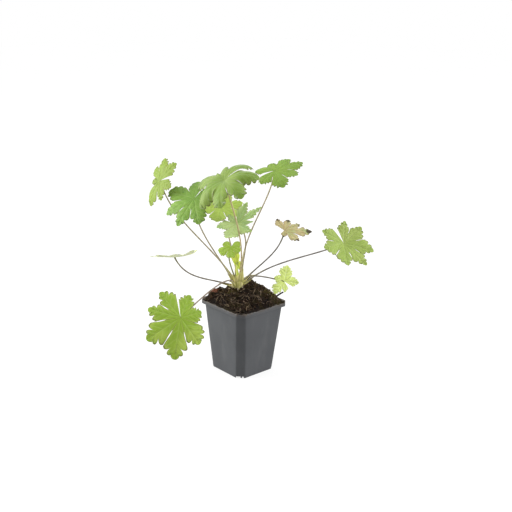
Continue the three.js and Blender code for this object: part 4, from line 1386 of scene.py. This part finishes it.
def chip(material):
    """A flake of bark in layers: three bowed plates with ragged ends, one on another."""
    rng = draws("chip")
    skin = Skin()
    x, y = CHIP_AT
    level = float(soil_level(x, y))
    spin = Matrix.Rotation(math.radians(25), 3, "Z") @ Matrix.Rotation(math.radians(50), 3, "X")
    for k in range(3):
        v, u = patch(15, 11, low=-1)
        place = np.stack([v * 4, u * 4, u * 0 + k], axis=-1)
        ragged = 1 - 0.12 * k + 0.09 * lattice_noise(place, 1.0)
        rough = 0.25 * rng.uniform(-1, 1, v.shape)
        high = 0.75 * (k - 1) + 0.5 * (1 - v ** 2) + rough
        plate = np.stack([4.7 * v * ragged, 3.4 * u * ragged, high], axis=-1)
        grid = plate @ np.array(spin).T + [x, y, level + 2.0]
        skin.shell(grid, np.full(v.shape, 0.7), mark=0.3 * k)
    skin.piece("bark_flake", material, ["bark_chip"], sharp=50)


# ------------------------------------------------------------------------------ assembly

pot(pot_material())
earth = earth_material("potting soil", "#150e07", "#352517", "#565121", 0.65)
soil(earth)
spill(earth)
crumbs(earth_material("peat crumbs", "#1d130b", "#4b3524", "#5e5628", 0.3))
fibres(
    grain_material("peat fibre"), "soil_fibres_pale", seed="pale fibres", count=60,
    long=(4, 13), thick=(0.16, 0.42), low=0.45)
fibres(
    grain_material("dark fibre"), "soil_fibres_dark", seed="dark fibres", count=220,
    long=(3, 12), thick=(0.18, 0.5), low=0.3)
flakes(grain_material("litter"))
twig(grain_material("twig bark"))
chip(grain_material("red bark"))

crown(grain_material("stem sheath"), grain_material("papery scale"))
shoot_green = leaf_material(
    "folded leaf", "#cdee6a", "#d8f27e", "#eaf7b4", "#e4f29c", veins=0.35, tips=0.0, mottle=0.2,
    glow=1.0)
for label, place in SHOOTS.items():
    shoot(label, place, shoot_green)

# colours of a stalk at its foot, along it and under the blade
PLAIN_STALK = ("#dfd8a4", "#b3a688", "#a8a27a")
STALK_PAINTS = {
    "right": ("#b5ae92", "#847c74", "#8d8a76"),
    "withered": ("#aaa48c", "#77706a", "#a3a684"),
    "top": ("#d6c690", "#cdb98a", "#b5a878"),
    "low_left": ("#a09484", "#968678", "#93726a"),
    "level_left": ("#94866f", "#8d8272", "#9a9672"),
    "small_right": ("#8f8474", "#8d8577", "#a8b070"),
    "small_front": ("#a9a77a", "#9aa070", "#9cb060"),
}
for label, leaf in LEAVES.items():
    finish = FINISHES.get(label, {})
    blade(label, leaf, leaf_material("blade " + label, *PAINTS[label], **finish))
    stem_paint = STALK_PAINTS.get(label, PLAIN_STALK)
    stalk(label, leaf, stalk_material("stem " + label, *stem_paint))


# ------------------------------------------------------------------------- stage and view

# half the floor's width in metres, and its glow as the camera sees it and as it lights the
# plant
FLOOR_HALF = 6.0
FLOOR_GLOW = 0.8
FLOOR_LIGHT = 0.4
# softboxes: their distance, height and size in metres, their bearing, lift and power in watts
SOFTBOX_AWAY = 1.7
SOFTBOX_HEIGHT = 0.12
SOFTBOX_SIZE = 1.2
SOFTBOXES = {"left softbox": (-138, 20, 40.0), "right softbox": (47, 20, 27.0)}


def stage():
    """A plain pale floor, far wider than the view, that glows a little like a light table."""
    mesh = bpy.data.meshes.new("floor")
    corners = [(FLOOR_HALF * x, FLOOR_HALF * y, 0) for x, y in ((-1, -1), (1, -1), (1, 1), (-1, 1))]
    mesh.from_pydata(corners, [], [(0, 1, 2, 3)])
    material, tree, shader = new_material("pale floor")
    shade = noise(tree, object_place(tree), 3.0)
    colour = mixed(tree, shade, linear("#7c7c7c"), linear("#808080"))
    tree.links.new(colour, shader.inputs["Base Color"])
    shader.inputs["Roughness"].default_value = 0.9
    shader.inputs["Specular IOR Level"].default_value = 0.0
    shader.inputs["Emission Color"].default_value = (1, 1, 1, 1)
    seen = add(tree, "LightPath").outputs["Is Camera Ray"]
    glow = add(tree, "Mix", {0: seen, 2: FLOOR_LIGHT, 3: FLOOR_GLOW}, data_type="FLOAT")
    tree.links.new(glow.outputs[0], shader.inputs["Emission Strength"])
    mesh.materials.append(material)
    floor = bpy.data.objects.new("floor", mesh)
    bpy.context.scene.collection.objects.link(floor)


def soft_light(name, bearing, lift, power):
    """A square softbox at a bearing and lift from the plant, turned to face it."""
    lamp = bpy.data.lights.new(name, "AREA")
    lamp.shape = "SQUARE"
    lamp.size = SOFTBOX_SIZE
    lamp.energy = power
    made = bpy.data.objects.new(name, lamp)
    way = Vector(direction(bearing, lift).tolist())
    made.location = way * SOFTBOX_AWAY + Vector((0, 0, SOFTBOX_HEIGHT))
    made.rotation_euler = way.to_track_quat("Z", "Y").to_euler()
    bpy.context.scene.collection.objects.link(made)


def lights():
    """White surroundings, brightest overhead and dimmest in front, with a broad light from
    the left and a weaker one from the right."""
    world = bpy.data.worlds.new("studio")
    bpy.context.scene.world = world
    world.use_nodes = True
    tree = world.node_tree
    way = add(tree, "TexCoord").outputs["Generated"]
    high = add(tree, "SeparateXYZ", {0: way}).outputs[2]
    facing = part_along(tree, way, FRONT, 12)
    above = ramp(tree, high, 0.3, 0.9, 0.0, 1.0)
    around = ramp(tree, facing, 0.1, 0.9, 0.45, 0.05)
    light = maths(tree, "ADD", above, around)
    seen = add(tree, "LightPath").outputs["Is Camera Ray"]
    light = add(tree, "Mix", {0: seen, 2: light, 3: 1.0}, data_type="FLOAT").outputs[0]
    back = tree.nodes["Background"]
    back.inputs["Color"].default_value = (1, 1, 1, 1)
    tree.links.new(light, back.inputs["Strength"])
    for name, (bearing, lift, power) in SOFTBOXES.items():
        soft_light(name, bearing, lift, power)


# where the camera stands, in degrees and metres round a point of that height, its focal
# length in pixels of a frame of that many, and the degrees it is turned from that point
AZIMUTH = FRONT + 90
ELEVATION = 22.2
DISTANCE = 1.2
TARGET_HEIGHT = 0.06
LENS_PIXELS = 852
FRAME_PIXELS = 512
YAW = 0.77
PITCH = 4.75
ROLL = 1.35


def camera():
    """The camera stands at its azimuth and elevation from a point above the origin, looks
    back at it turned by the yaw and pitch, and is rolled about its line of sight."""
    a, e = math.radians(AZIMUTH), math.radians(ELEVATION)
    back = Vector((math.sin(a) * math.cos(e), -math.cos(a) * math.cos(e), math.sin(e)))
    right = Vector((math.cos(a), math.sin(a), 0))
    up = right.cross(-back)
    ahead = -back + math.tan(math.radians(YAW)) * right + math.tan(math.radians(PITCH)) * up
    ahead.normalize()
    right = ahead.cross(Vector((0, 0, 1))).normalized()
    up = right.cross(ahead)
    roll = math.radians(ROLL)
    side = right * math.cos(roll) + up * math.sin(roll)
    top = up * math.cos(roll) - right * math.sin(roll)
    data = bpy.data.cameras.new("camera")
    data.sensor_width = 36
    data.lens = LENS_PIXELS / FRAME_PIXELS * data.sensor_width
    data.clip_start = 0.05
    made = bpy.data.objects.new("camera", data)
    turn = Matrix((side, top, -ahead)).transposed().to_4x4()
    stand = back * DISTANCE + Vector((0, 0, TARGET_HEIGHT))
    made.matrix_world = Matrix.Translation(stand) @ turn
    bpy.context.scene.collection.objects.link(made)
    bpy.context.scene.camera = made


stage()
lights()
camera()
bpy.context.scene.view_settings.view_transform = "Standard"
